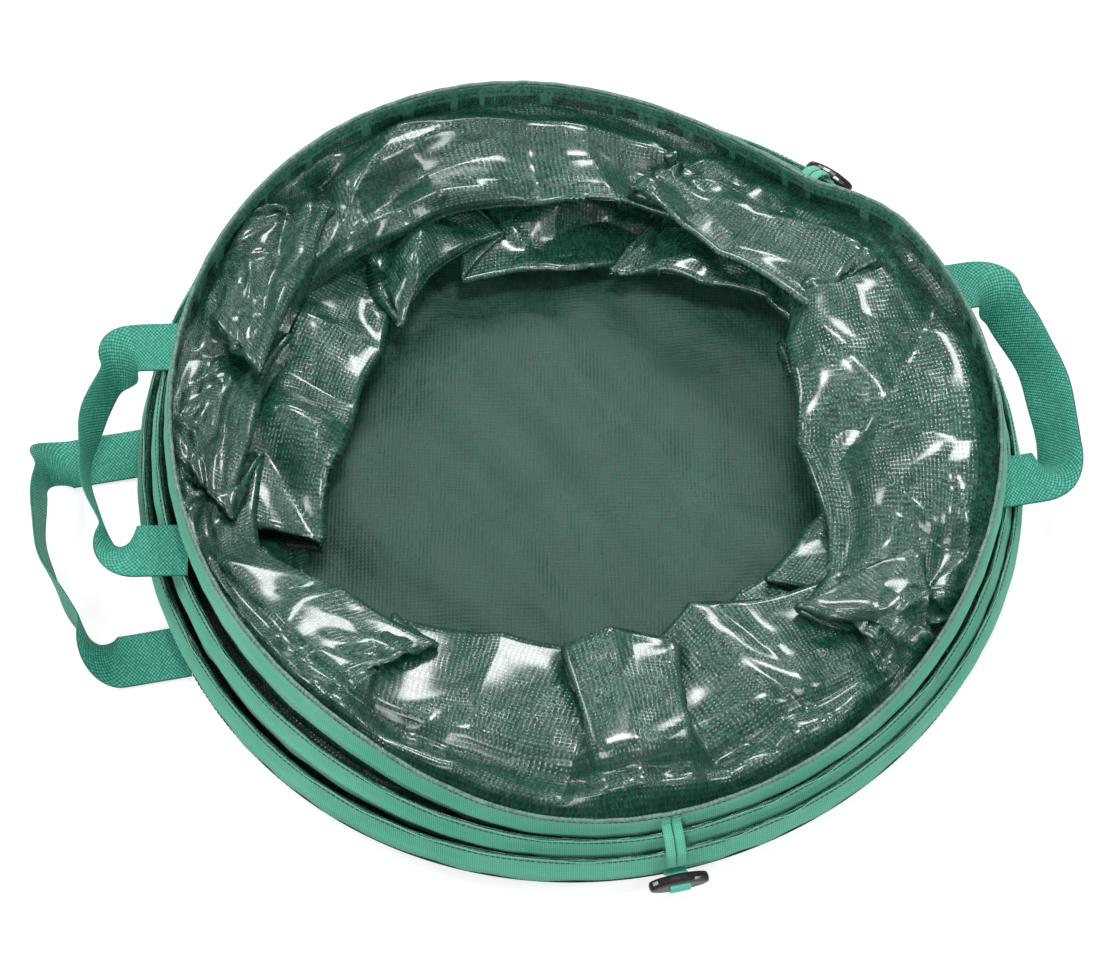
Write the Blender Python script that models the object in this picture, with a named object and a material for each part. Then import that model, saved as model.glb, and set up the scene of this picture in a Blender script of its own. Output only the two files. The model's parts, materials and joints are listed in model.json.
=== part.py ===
"""Pop up leaf bag, collapsed and held down by its toggles.

A spring wire is sewn into three fabric sleeves, one nested inside the next, with the
wall folded inward between them. Metres, +Z up, the floor panel's underside at z = 0,
the front closure toward -Y and the two left handles toward -X.
"""

import math

import bmesh
import bpy
import numpy as np

# The spring and the three sleeves that hold it, numbered from the bottom up
RIM_RADIUS = 0.272
WIRE_DIAMETER = 0.003
TAPE_WIDTH = 0.035
TAPE_THICKNESS = 0.0008
FACING_THICKNESS = 0.0008
BULGE_FLANK = 0.003
BULGE_FLAT_SHARE = 0.8
NEST_CLEARANCE = 0.0004
NEST_SHIFT = 0.003
NEST_SHIFT_BEARING = 315
OVAL_DEPTH = 0.0045
OVAL_BEARING = 305
THREE_LOBE_DEPTH = 0.0033
THREE_LOBE_BEARING = 8
LEAN_DEGREES = 5
FRONT_LEAN_DEGREES = -5
FRONT_LEAN_SPREAD = 75
MIDDLE_TURN_DROP = 0.0110
BOTTOM_TURN_DROP = 0.0100
MIDDLE_LIFT_LEFT = 0.017
MIDDLE_LIFT_RIGHT = 0.004
FIT_GAP = 0.0003

# The floor with its low slack folds, its seam binding and the hem at the mouth
FLOOR_THICKNESS = 0.0015
FLOOR_FOLD_RISE = 0.003
FLOOR_FOLD_PITCH = 0.185
FLOOR_FOLD_BEARING = 37
FLOOR_CROSS_RISE = 0.002
FLOOR_CROSS_PITCH = 0.130
FLOOR_CROSS_BEARING = 299
BINDING_WIDTH = 0.012
NOTCH_DEPTH = 0.005
HEM_HEIGHT = 0.0022
HEM_OVERHANG = 0.0006

# The wall courses, folded inward between the turns
WALL_THICKNESS = 0.002
FOLD_REACH = 0.092
FOLD_RIPPLE = 0.008
FOLD_COUNT = 8
UPPER_FOLD_RIPPLE = 0.002
CREST_HEIGHT = 0.066
CREST_FOLLOW_SHARE = 0.4
CREST_RIPPLE = 0.005
CREST_SHARE = 0.45
LOWER_FOLD_HEIGHT = 0.0155
WALL_CLEARANCE = 0.0015

# The handles, all of one webbing
WEB_WIDTH = 0.038
WEB_THICKNESS = 0.0016
LEG_CLEARANCE = 0.0005
TAB_TUCK = 0.003
HINGE_CLEARANCE = 0.0012
CORNER_RADIUS = 0.020
HANDLE_HALF_SPAN = 0.0785
LEFT_LEG_LENGTH = 0.030
LEFT_GRIP_DROP = 0.011
LEFT_GRIP_BOW = 0.004
RIGHT_LEG_LENGTH = 0.020
RIGHT_GRIP_DROP = 0.009
RIGHT_GRIP_BOW = 0.005
TIPPING_LEG_LENGTH = 0.054
TIPPING_GRIP_RISE = 0.0172
TIPPING_GRIP_BOW = 0.004
LEFT_TWIST_DEGREES = 82
RIGHT_TWIST_DEGREES = 52
TIPPING_TWIST_DEGREES = 86

# The toggle closures
STRAP_WIDTH = 0.013
STRAP_THICKNESS = 0.0016
STRAP_SLIT = 0.0015
STRAP_SLIT_MARGIN = 0.004
STRAP_CLEARANCE = 0.0012
STRAP_DIP_DEGREES = 35
TOGGLE_LENGTH = 0.038
TOGGLE_HEIGHT = 0.014
TOGGLE_THICKNESS = 0.007
TOGGLE_EDGE = 0.0012
TOGGLE_BAR = 0.004
TOGGLE_SLOT = 0.0024
TOGGLE_CENTRE_HEIGHT = 0.020
EYE_THICKNESS = 0.0012
EYE_WIDTH = 0.013
TAB_REACH = 0.0036

# Bearings round the bag, in degrees from +X, counter-clockwise from above
FRONT_CLOSURE = 282
BACK_CLOSURE = 53
LEFT_HANDLE = 182
RIGHT_HANDLE = 10.5
TIPPING_HANDLE = 191
RAMP_START = 96
RAMP_SWEEP = 48
CAP_SWEEP = 2.4

# How far the free stretches of the collapsed spring fan out, as shares of the full
# lift at each bearing, with none at the two closures
LEFT_LIFT_SHARES = [
    (53, 0.0), (66, 0.14), (82, 0.48), (100, 0.8), (122, 0.97), (150, 1.0), (176, 1.0),
    (200, 1.0), (222, 1.06), (238, 0.98), (250, 0.6), (262, 0.18), (272, 0.03), (282, 0.0),
]
RIGHT_LIFT_SHARES = [
    (282, 0.0), (298, 0.07), (318, 0.22), (336, 0.72), (346, 1.0), (360, 1.0),
    (382, 1.0), (394, 1.0), (403, 0.55), (413, 0.0),
]

# A webbing end that turns on its hinge line is rounded: how far back each section
# lies and how thick it is, as shares of half the webbing's thickness and of all of it
NOSE_SHARES = [(0.97, 0.24), (0.72, 0.69)]

RING_STEPS = 64
FLOOR_RINGS = 4
WIRE_SIDES = 6
CORNER_STEPS = 7
GRIP_STEPS = 8

# Sizes that follow from the ones above
LEAN = math.radians(LEAN_DEGREES)
STRAP_DIP = math.radians(STRAP_DIP_DEGREES)
HALF_BAND = TAPE_WIDTH / 2
WIRE_RADIUS = WIRE_DIAMETER / 2
BULGE = FIT_GAP + WIRE_DIAMETER + FIT_GAP + TAPE_THICKNESS
MARGIN = FIT_GAP + TAPE_THICKNESS
FLANK_END = WIRE_RADIUS + BULGE_FLANK
RADIAL_STEP = (BULGE + FACING_THICKNESS + NEST_CLEARANCE + NEST_SHIFT
               + (HALF_BAND + FLANK_END) * math.sin(LEAN))
BAND_RISE = HALF_BAND * math.cos(LEAN)
BINDING_THICKNESS = WEB_THICKNESS + FIT_GAP
BOTTOM_HEIGHT = (FLOOR_THICKNESS + FIT_GAP + BINDING_THICKNESS + FIT_GAP + BAND_RISE
                 + FACING_THICKNESS * math.sin(LEAN))
HEIGHTS = [BOTTOM_HEIGHT, BOTTOM_HEIGHT + BOTTOM_TURN_DROP,
           BOTTOM_HEIGHT + BOTTOM_TURN_DROP + MIDDLE_TURN_DROP]
RADII = [RIM_RADIUS + 2 * RADIAL_STEP, RIM_RADIUS + RADIAL_STEP, RIM_RADIUS]
LEG_PITCH = (2 * BAND_RISE + (MARGIN + FACING_THICKNESS) * math.sin(LEAN)
             + WEB_THICKNESS + 2 * LEG_CLEARANCE)
TOP_LIFT = LEG_PITCH - MIDDLE_TURN_DROP
WALL_STEP = BAND_RISE - MIDDLE_TURN_DROP + WALL_THICKNESS / 2 + WALL_CLEARANCE
WALL_HANG = WALL_STEP + WALL_THICKNESS + WALL_CLEARANCE
LEFT_LIFTS = [0, MIDDLE_LIFT_LEFT, TOP_LIFT + MIDDLE_LIFT_LEFT]
RIGHT_LIFTS = [0, MIDDLE_LIFT_RIGHT, TOP_LIFT + MIDDLE_LIFT_RIGHT]
BOTTOM, MIDDLE, TOP = range(3)


def table_share(table, bearing):
    """Reads a table of shares at a bearing, with a smooth curve through its points."""
    bearings = [row[0] for row in table]
    shares = [row[1] for row in table]
    i = max(k for k in range(len(table) - 1) if bearings[k] <= bearing)
    span = bearings[i + 1] - bearings[i]
    t = (bearing - bearings[i]) / span

    def slope(k):
        if k in (0, len(table) - 1):
            return 0.0
        before, after = shares[k] - shares[k - 1], shares[k + 1] - shares[k]
        if before * after <= 0:
            return 0.0
        return (before + after) / (bearings[k + 1] - bearings[k - 1])

    return (shares[i] * (1 + 2 * t) * (1 - t) ** 2 + shares[i + 1] * t * t * (3 - 2 * t)
            + slope(i) * span * t * (1 - t) ** 2
            - slope(i + 1) * span * t * t * (1 - t))


def turn_height(level, bearing):
    """Height of a turn's wire at a bearing in degrees."""
    bearing %= 360
    if BACK_CLOSURE <= bearing <= FRONT_CLOSURE:
        lift = LEFT_LIFTS[level] * table_share(LEFT_LIFT_SHARES, bearing)
    else:
        turned = bearing if bearing > FRONT_CLOSURE else bearing + 360
        lift = RIGHT_LIFTS[level] * table_share(RIGHT_LIFT_SHARES, turned)
    return HEIGHTS[level] + lift


def at_bearing(bearing, radius, height, along=0.0):
    """A point out along a bearing, moved sideways along the tangent."""
    a = math.radians(bearing)
    return (radius * math.cos(a) - along * math.sin(a),
            radius * math.sin(a) + along * math.cos(a), height)


def ring_radius(level, bearing):
    """Radius of a turn, which settles a little out of round and toward the front."""
    shift = level * NEST_SHIFT * math.cos(math.radians(bearing - NEST_SHIFT_BEARING))
    oval = OVAL_DEPTH * math.cos(math.radians(2 * (bearing - OVAL_BEARING)))
    lobes = THREE_LOBE_DEPTH * math.cos(math.radians(3 * (bearing - THREE_LOBE_BEARING)))
    return RADII[level] + shift + oval + lobes


def lean_at(bearing):
    """How far the sleeves lean in: outward instead where the front strap pulls them."""
    off = abs((bearing - FRONT_CLOSURE + 180) % 360 - 180) / FRONT_LEAN_SPREAD
    pull = (1 + math.cos(math.pi * min(1, off))) / 2
    return math.radians(LEAN_DEGREES + (FRONT_LEAN_DEGREES - LEAN_DEGREES) * pull)


def band_radius(level, bearing, out, up):
    lean = lean_at(bearing)
    return ring_radius(level, bearing) + out * math.cos(lean) - up * math.sin(lean)


def band_height(level, bearing, out, up):
    lean = lean_at(bearing)
    return turn_height(level, bearing) + out * math.sin(lean) + up * math.cos(lean)


def band_point(level, bearing, out, up):
    """A point of a sleeve: out from its facing, and up along the leaning band."""
    return at_bearing(bearing, band_radius(level, bearing, out, up),
                      band_height(level, bearing, out, up))


def material(name, colour, roughness, metallic=0.0):
    found = bpy.data.materials.get(name)
    if found:
        return found
    made = bpy.data.materials.new(name)
    made.use_nodes = True
    shader = made.node_tree.nodes["Principled BSDF"]
    shader.inputs["Base Color"].default_value = (*colour, 1.0)
    shader.inputs["Roughness"].default_value = roughness
    shader.inputs["Metallic"].default_value = metallic
    return made


def add_part(name, bm, finish, origin=(0.0, 0.0, 0.0)):
    """Turns a bmesh in world space into a named object whose origin is on its joint."""
    bmesh.ops.recalc_face_normals(bm, faces=bm.faces)
    if bm.calc_volume(signed=True) < 0:
        bmesh.ops.reverse_faces(bm, faces=bm.faces)
    bmesh.ops.translate(bm, verts=bm.verts, vec=[-c for c in origin])
    mesh = bpy.data.meshes.new(name)
    bm.to_mesh(mesh)
    bm.free()
    own = material(name + "_" + finish[0], *finish[1:])
    mesh.materials.append(own)
    mesh.shade_smooth()
    mesh.set_sharp_from_angle(angle=math.radians(35))
    obj = bpy.data.objects.new(name, mesh)
    obj.location = origin
    bpy.context.scene.collection.objects.link(obj)
    return obj


WALL_FABRIC = ("woven_laminate", (0.025, 0.115, 0.085), 0.35)
FLOOR_FABRIC = ("floor_cloth", (0.025, 0.100, 0.070), 0.6)
BAND_FABRIC = ("oxford", (0.060, 0.350, 0.200), 0.85)
WEBBING = ("webbing", (0.014, 0.270, 0.160), 0.7)
SPRING_STEEL = ("spring_steel", (0.320, 0.320, 0.330), 0.35, 1.0)
BLACK_PLASTIC = ("moulded_plastic", (0.012, 0.010, 0.011), 0.2)


def loft(sections, closed):
    """Joins equal sections into a tube, either closed into a ring or with flat ends."""
    bm = bmesh.new()
    rings = [[bm.verts.new(p) for p in section] for section in sections]
    count = len(rings[0])
    last = len(rings) if closed else len(rings) - 1
    for i in range(last):
        a, b = rings[i], rings[(i + 1) % len(rings)]
        for j in range(count):
            k = (j + 1) % count
            bm.faces.new((a[j], a[k], b[k], b[j]))
    if not closed:
        bm.faces.new(list(reversed(rings[0])))
        bm.faces.new(rings[-1])
    return bm


def band_ring(level, profile):
    """A sleeve piece: its profile of out and up values, carried all the way round."""
    bearings = [360 * i / RING_STEPS for i in range(RING_STEPS)]
    return loft([[band_point(level, b, *p) for p in profile] for b in bearings], True)


def tape_profile():
    """The outer tape's section: flat margins with the bulge over the wire between."""
    flat = WIRE_RADIUS * BULGE_FLAT_SHARE
    inner = [(FIT_GAP, HALF_BAND), (FIT_GAP, FLANK_END), (BULGE - TAPE_THICKNESS, flat)]
    outer = [(MARGIN, HALF_BAND), (MARGIN, FLANK_END + TAPE_THICKNESS / 2),
             (BULGE, flat + TAPE_THICKNESS / 2)]
    lower_outer = [(out, -up) for out, up in outer]
    lower_inner = [(out, -up) for out, up in inner]
    return lower_outer + outer[::-1] + inner + lower_inner[::-1]


def facing_profile():
    return [(-FACING_THICKNESS, -HALF_BAND), (0, -HALF_BAND), (0, HALF_BAND),
            (-FACING_THICKNESS, HALF_BAND)]


def hem_profile():
    low = HALF_BAND + FIT_GAP
    inner, outer = -FACING_THICKNESS - HEM_OVERHANG, MARGIN + HEM_OVERHANG
    roll = HEM_OVERHANG
    return [(inner, low), (outer, low), (outer, low + HEM_HEIGHT - roll),
            (outer - roll, low + HEM_HEIGHT), (inner + roll, low + HEM_HEIGHT),
            (inner, low + HEM_HEIGHT - roll)]


def add_sleeves():
    names = ["bottom", "middle", "top"]
    for level, name in enumerate(names):
        add_part(name + "_sleeve", band_ring(level, tape_profile()), BAND_FABRIC)
        add_part(name + "_facing", band_ring(level, facing_profile()), WALL_FABRIC)
    add_part("rim_hem", band_ring(TOP, hem_profile()), BAND_FABRIC)


def wire_section(centre, bearing):
    """One cross section of the wire, square to the turn."""
    radius = math.hypot(centre[0], centre[1])
    points = []
    for i in range(WIRE_SIDES):
        a = 2 * math.pi * (i + 0.5) / WIRE_SIDES
        points.append(at_bearing(bearing, radius + WIRE_RADIUS * math.cos(a),
                                 centre[2] + WIRE_RADIUS * math.sin(a)))
    return points


def turn_piece(level, first, last):
    """The wire in a sleeve from one bearing to another, on the sleeve's own steps."""
    step = 360 / RING_STEPS
    inner = [step * k for k in range(math.ceil(first / step), math.floor(last / step) + 1)
             if first < step * k < last]
    bearings = [first] + inner + [last]
    out = FIT_GAP + WIRE_RADIUS
    return loft([wire_section(band_point(level, b, out, 0), b) for b in bearings], False)


def ramp_piece(level):
    """The climb from inside one sleeve's facing to the lower edge of the next."""
    sections = []
    steps = round(RING_STEPS * RAMP_SWEEP / 360) * 2
    under = -(FACING_THICKNESS + FIT_GAP + WIRE_RADIUS)
    for i in range(steps + 1):
        share = i / steps
        ease = share * share * (3 - 2 * share)
        bearing = RAMP_START + RAMP_SWEEP * share
        low_radius = band_radius(level, bearing, under, 0)
        low_height = band_height(level, bearing, under, 0)
        high_radius = band_radius(level + 1, bearing, MARGIN / 2, -HALF_BAND)
        high_height = (band_height(level + 1, bearing, -FACING_THICKNESS, -HALF_BAND)
                       - FIT_GAP - WIRE_RADIUS)
        radius = low_radius + (high_radius - low_radius) * ease
        height = low_height + (high_height - low_height) * ease
        sections.append(wire_section(at_bearing(bearing, radius, height), bearing))
    return loft(sections, False)


def add_spring():
    gap = math.degrees(FIT_GAP / RIM_RADIUS)
    full = 360 - 4 * gap
    low_end = RAMP_START + CAP_SWEEP
    add_part("spring_turn_bottom", turn_piece(BOTTOM, low_end + gap, RAMP_START + full),
             SPRING_STEEL)
    add_part("spring_end_cap_bottom", turn_piece(BOTTOM, RAMP_START + gap, low_end),
             BLACK_PLASTIC)
    add_part("spring_turn_middle", turn_piece(MIDDLE, RAMP_START, RAMP_START + full),
             SPRING_STEEL)
    add_part("spring_turn_top",
             turn_piece(TOP, RAMP_START, RAMP_START + full - CAP_SWEEP), SPRING_STEEL)
    add_part("spring_end_cap_top",
             turn_piece(TOP, RAMP_START + full - CAP_SWEEP + gap, RAMP_START + full),
             BLACK_PLASTIC)
    add_part("spring_ramp_lower", ramp_piece(BOTTOM), SPRING_STEEL)
    add_part("spring_ramp_upper", ramp_piece(MIDDLE), SPRING_STEEL)


def wall_course(level):
    """One folded wall course: in from the upper turn, round the fold, back out.

    The upper course rises to a crest on its way in, and the lower one runs straight.
    """
    sections = []
    half = WALL_THICKNESS / 2
    nose = WALL_THICKNESS
    for i in range(RING_STEPS):
        bearing = 360 * i / RING_STEPS
        wave = math.cos(math.radians(bearing) * FOLD_COUNT + level)
        apex_radius = RIM_RADIUS - FOLD_REACH + FOLD_RIPPLE * wave
        upper_z = turn_height(level + 1, bearing) - WALL_HANG
        upper_r = band_radius(level + 1, bearing, -FACING_THICKNESS - FIT_GAP,
                              -WALL_HANG)
        if level == BOTTOM:
            lower_z = FLOOR_THICKNESS + BINDING_THICKNESS + 2 * FIT_GAP + half
            lower_r = min(band_radius(BOTTOM, bearing, -FACING_THICKNESS - FIT_GAP, -up)
                          for up in (WALL_HANG, HALF_BAND))
            apex_z = LOWER_FOLD_HEIGHT + FOLD_RIPPLE * wave / 4
            over, under = [], []
        else:
            lower_z = turn_height(MIDDLE, bearing) - WALL_STEP
            lower_r = band_radius(MIDDLE, bearing, -FACING_THICKNESS - FIT_GAP,
                                  -WALL_STEP)
            apex_z = (upper_z + lower_z) / 2 + UPPER_FOLD_RIPPLE * wave
            lift = turn_height(TOP, bearing) - HEIGHTS[TOP]
            crest_z = CREST_HEIGHT + CREST_FOLLOW_SHARE * lift - CREST_RIPPLE * wave
            crest_r = apex_radius + (upper_r - apex_radius) * CREST_SHARE
            over, under = [(crest_r, crest_z + half)], [(crest_r, crest_z - half)]
        sections.append([at_bearing(bearing, *p) for p in (
            (upper_r, upper_z + half), *over, (apex_radius + nose, apex_z + nose),
            (apex_radius, apex_z), (apex_radius + nose, apex_z - nose),
            (lower_r, lower_z - half), (lower_r, lower_z + half),
            (apex_radius + 2 * nose + half, apex_z), *under, (upper_r, upper_z - half))])
    return loft(sections, True)


def cut_with(body, cutter):
    """Cuts one solid with another, which is then only a cutter."""
    cutter.hide_render = True
    cutter.display_type = "WIRE"
    cut = body.modifiers.new("cut", "BOOLEAN")
    cut.object = cutter
    cut.operation = "DIFFERENCE"
    cut.solver = "EXACT"


def floor_rise(bearing, share):
    """How far the slack cloth stands up at a share of the way out from the centre."""
    place = at_bearing(bearing, share * RADII[BOTTOM], 0)
    rise = 0
    for height, pitch, along in ((FLOOR_FOLD_RISE, FLOOR_FOLD_PITCH, FLOOR_FOLD_BEARING),
                                 (FLOOR_CROSS_RISE, FLOOR_CROSS_PITCH, FLOOR_CROSS_BEARING)):
        a = math.radians(along)
        across = place[0] * math.cos(a) + place[1] * math.sin(a)
        rise += height * (1 + math.sin(2 * math.pi * across / pitch))
    return rise * (1 - share * share)


def floor_disc():
    """The floor panel: flat underneath, with its low folds on top inside the binding."""
    bm = bmesh.new()
    bearings = [360 * i / RING_STEPS for i in range(RING_STEPS)]
    rings = [[bm.verts.new(at_bearing(b, floor_radius(b), 0.0)) for b in bearings],
             [bm.verts.new(at_bearing(b, floor_radius(b), FLOOR_THICKNESS))
              for b in bearings]]
    for k in range(FLOOR_RINGS + 1):
        share = 1 - k / (FLOOR_RINGS + 1)
        ring = []
        for b in bearings:
            radius = share * (floor_radius(b) - BINDING_WIDTH - FIT_GAP)
            rise = floor_rise(b, share) if k else 0
            ring.append(bm.verts.new(at_bearing(b, radius, FLOOR_THICKNESS + rise)))
        rings.append(ring)
    bm.faces.new(list(reversed(rings[0])))
    for lower, upper in zip(rings, rings[1:]):
        for i in range(RING_STEPS):
            k = (i + 1) % RING_STEPS
            bm.faces.new((lower[i], lower[k], upper[k], upper[i]))
    centre = bm.verts.new((0.0, 0.0, FLOOR_THICKNESS + floor_rise(0, 0)))
    for i in range(RING_STEPS):
        bm.faces.new((rings[-1][i], rings[-1][(i + 1) % RING_STEPS], centre))
    return bm


def floor_radius(bearing):
    return band_radius(BOTTOM, bearing, 0, -HALF_BAND)


def add_floor():
    add_part("floor_panel", floor_disc(), FLOOR_FABRIC)
    low = FLOOR_THICKNESS + FIT_GAP
    high = low + BINDING_THICKNESS
    bearings = [360 * i / RING_STEPS for i in range(RING_STEPS)]
    profile = [(-BINDING_WIDTH, low), (0.0, low), (0.0, high), (-BINDING_WIDTH, high)]
    ring = loft([[at_bearing(b, floor_radius(b) + x, z) for x, z in profile]
                 for b in bearings], True)
    binding = add_part("floor_seam_binding", ring, WALL_FABRIC)
    for side in (-1, 1):
        radius = floor_radius(leg_bearing(TIPPING_HANDLE, side))
        cutter_body = tab_body(TIPPING_HANDLE, side, radius - NOTCH_DEPTH,
                               radius + NOTCH_DEPTH, low - HEM_HEIGHT,
                               high + HEM_HEIGHT, FIT_GAP)
        cut_with(binding, add_part("notch_cutter_" + str(side), cutter_body, WALL_FABRIC))


def tab_body(bearing, side, inner_radius, outer_x, low, high, grow=0.0):
    """A webbing tab: straight at its outer end, and curved with the band inside."""
    first = side * HANDLE_HALF_SPAN - WEB_WIDTH / 2 - grow
    last = side * HANDLE_HALF_SPAN + WEB_WIDTH / 2 + grow
    inner = inner_radius - grow
    plan = [(outer_x, first), (outer_x, last)]
    steps = 4
    for i in range(steps + 1):
        y = last + (first - last) * i / steps
        plan.append((math.sqrt(inner * inner - y * y), y))
    return loft([[at_bearing(bearing, x, z, y) for x, y in plan] for z in (low, high)],
                False)


def leg_bearing(bearing, side):
    """Bearing of one leg of the handle whose middle lies at a bearing."""
    return bearing + side * math.degrees(math.asin(HANDLE_HALF_SPAN / RIM_RADIUS))


def hinge_offset(bearing, level, out, up):
    """How far out a handle's hinge line lies, so its webbing clears a sleeve."""
    near = HANDLE_HALF_SPAN - WEB_WIDTH / 2
    reach = math.degrees(math.asin(near / RIM_RADIUS))
    radius = max(band_radius(level, bearing + side * reach, out, up)
                 for side in (-1, 1))
    return math.sqrt(radius * radius - near * near) + HINGE_CLEARANCE


def loop_body(bearing, hinge_x, hinge_z, leg, bow, grip_shift, twist_degrees):
    """A handle loop: two flat legs, twisted at the corners, and the grip on edge."""
    half = WEB_THICKNESS / 2
    path = [(hinge_x - back * half, HANDLE_HALF_SPAN, 0.0) for back, _ in NOSE_SHARES]
    path += [(hinge_x, HANDLE_HALF_SPAN, 0.0), (hinge_x + leg / 2, HANDLE_HALF_SPAN, 0.0)]
    for i in range(CORNER_STEPS + 1):
        share = i / CORNER_STEPS
        a = share * math.pi / 2
        path.append((hinge_x + leg + CORNER_RADIUS * math.sin(a),
                     HANDLE_HALF_SPAN - CORNER_RADIUS * (1 - math.cos(a)), share))
    grip = HANDLE_HALF_SPAN - CORNER_RADIUS
    for i in range(1, GRIP_STEPS):
        y = grip - 2 * grip * i / GRIP_STEPS
        path.append((hinge_x + leg + CORNER_RADIUS + bow * (1 - (y / grip) ** 2), y, 1.0))
    corner_end = len(NOSE_SHARES) + CORNER_STEPS + 3
    path += [(x, -y, share) for x, y, share in reversed(path[:corner_end])]
    points = np.array([(x, y) for x, y, _ in path])
    nose = [thick for _, thick in NOSE_SHARES]
    thicknesses = nose + [1.0] * (len(path) - 2 * len(nose)) + nose[::-1]
    twist = math.radians(twist_degrees)
    sections = []
    for i, (x, y, share) in enumerate(path):
        ahead = points[min(i + 1, len(path) - 1)] - points[max(i - 1, 0)]
        ahead = ahead / np.linalg.norm(ahead)
        angle = twist * share * share * (3 - 2 * share)
        centre = np.array((x, y, hinge_z + grip_shift * math.sin(angle)
                           / math.sin(twist)))
        side = np.array((ahead[1] * math.cos(angle), -ahead[0] * math.cos(angle),
                         -math.sin(angle)))
        normal = np.cross((ahead[0], ahead[1], 0.0), side)
        w, t = side * WEB_WIDTH / 2, normal * half * thicknesses[i]
        corners = (centre + w + t, centre + w - t, centre - w - t, centre - w + t)
        sections.append([at_bearing(bearing, c[0], c[2], c[1]) for c in corners])
    return loft(sections, False)


def add_handle(name, bearing, hinge_x, tab_radii, tab_low, leg, bow, shift, twist):
    """One handle: its two sewn tabs, and the loop that swings on them."""
    for side, place, radius in ((1, "_tab_a", tab_radii[0]), (-1, "_tab_b", tab_radii[1])):
        tab = tab_body(bearing, side, radius, hinge_x - WEB_THICKNESS / 2 - FIT_GAP, tab_low,
                       tab_low + WEB_THICKNESS)
        add_part(name + place, tab, WEBBING)
    hinge_z = tab_low + WEB_THICKNESS / 2
    loop = loop_body(bearing, hinge_x, hinge_z, leg, bow, shift, twist)
    add_part(name, loop, WEBBING, at_bearing(bearing, hinge_x, hinge_z))


def add_handles():
    for name, bearing, leg, bow, drop, twist in (
            ("carry_handle_left", LEFT_HANDLE, LEFT_LEG_LENGTH, LEFT_GRIP_BOW,
             LEFT_GRIP_DROP, LEFT_TWIST_DEGREES),
            ("carry_handle_right", RIGHT_HANDLE, RIGHT_LEG_LENGTH, RIGHT_GRIP_BOW,
             RIGHT_GRIP_DROP, RIGHT_TWIST_DEGREES)):
        hinge_x = hinge_offset(bearing, MIDDLE, MARGIN, HALF_BAND)
        tucks = [band_radius(TOP, leg_bearing(bearing, side), -FACING_THICKNESS,
                             -HALF_BAND) - TAB_TUCK for side in (1, -1)]
        low = band_height(MIDDLE, bearing, MARGIN, HALF_BAND) + LEG_CLEARANCE
        add_handle(name, bearing, hinge_x, tucks, low, leg, bow, -drop, twist)
    feet = [floor_radius(leg_bearing(TIPPING_HANDLE, side)) - NOTCH_DEPTH
            for side in (1, -1)]
    add_handle("tipping_handle", TIPPING_HANDLE,
               hinge_offset(TIPPING_HANDLE, BOTTOM, BULGE, 0), feet,
               FLOOR_THICKNESS + FIT_GAP,
               TIPPING_LEG_LENGTH, TIPPING_GRIP_BOW, TIPPING_GRIP_RISE,
               TIPPING_TWIST_DEGREES)


def strip_body(bearing, path, width, thickness, nose=()):
    """A strap along a path of radius and height points, with any rounded end first."""
    sections = []
    thicknesses = [thickness * share for share in nose]
    thicknesses += [thickness] * (len(path) - len(nose))
    line = np.array(path)
    for i in range(len(line)):
        ahead = line[min(i + 1, len(line) - 1)] - line[max(i - 1, 0)]
        ahead = ahead / np.linalg.norm(ahead)
        across = np.array((-ahead[1], ahead[0])) * thicknesses[i] / 2
        corners = ((line[i] + across, -1), (line[i] + across, 1),
                   (line[i] - across, 1), (line[i] - across, -1))
        sections.append([at_bearing(bearing, p[0], p[1], side * width / 2)
                         for p, side in corners])
    return loft(sections, False)


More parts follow.
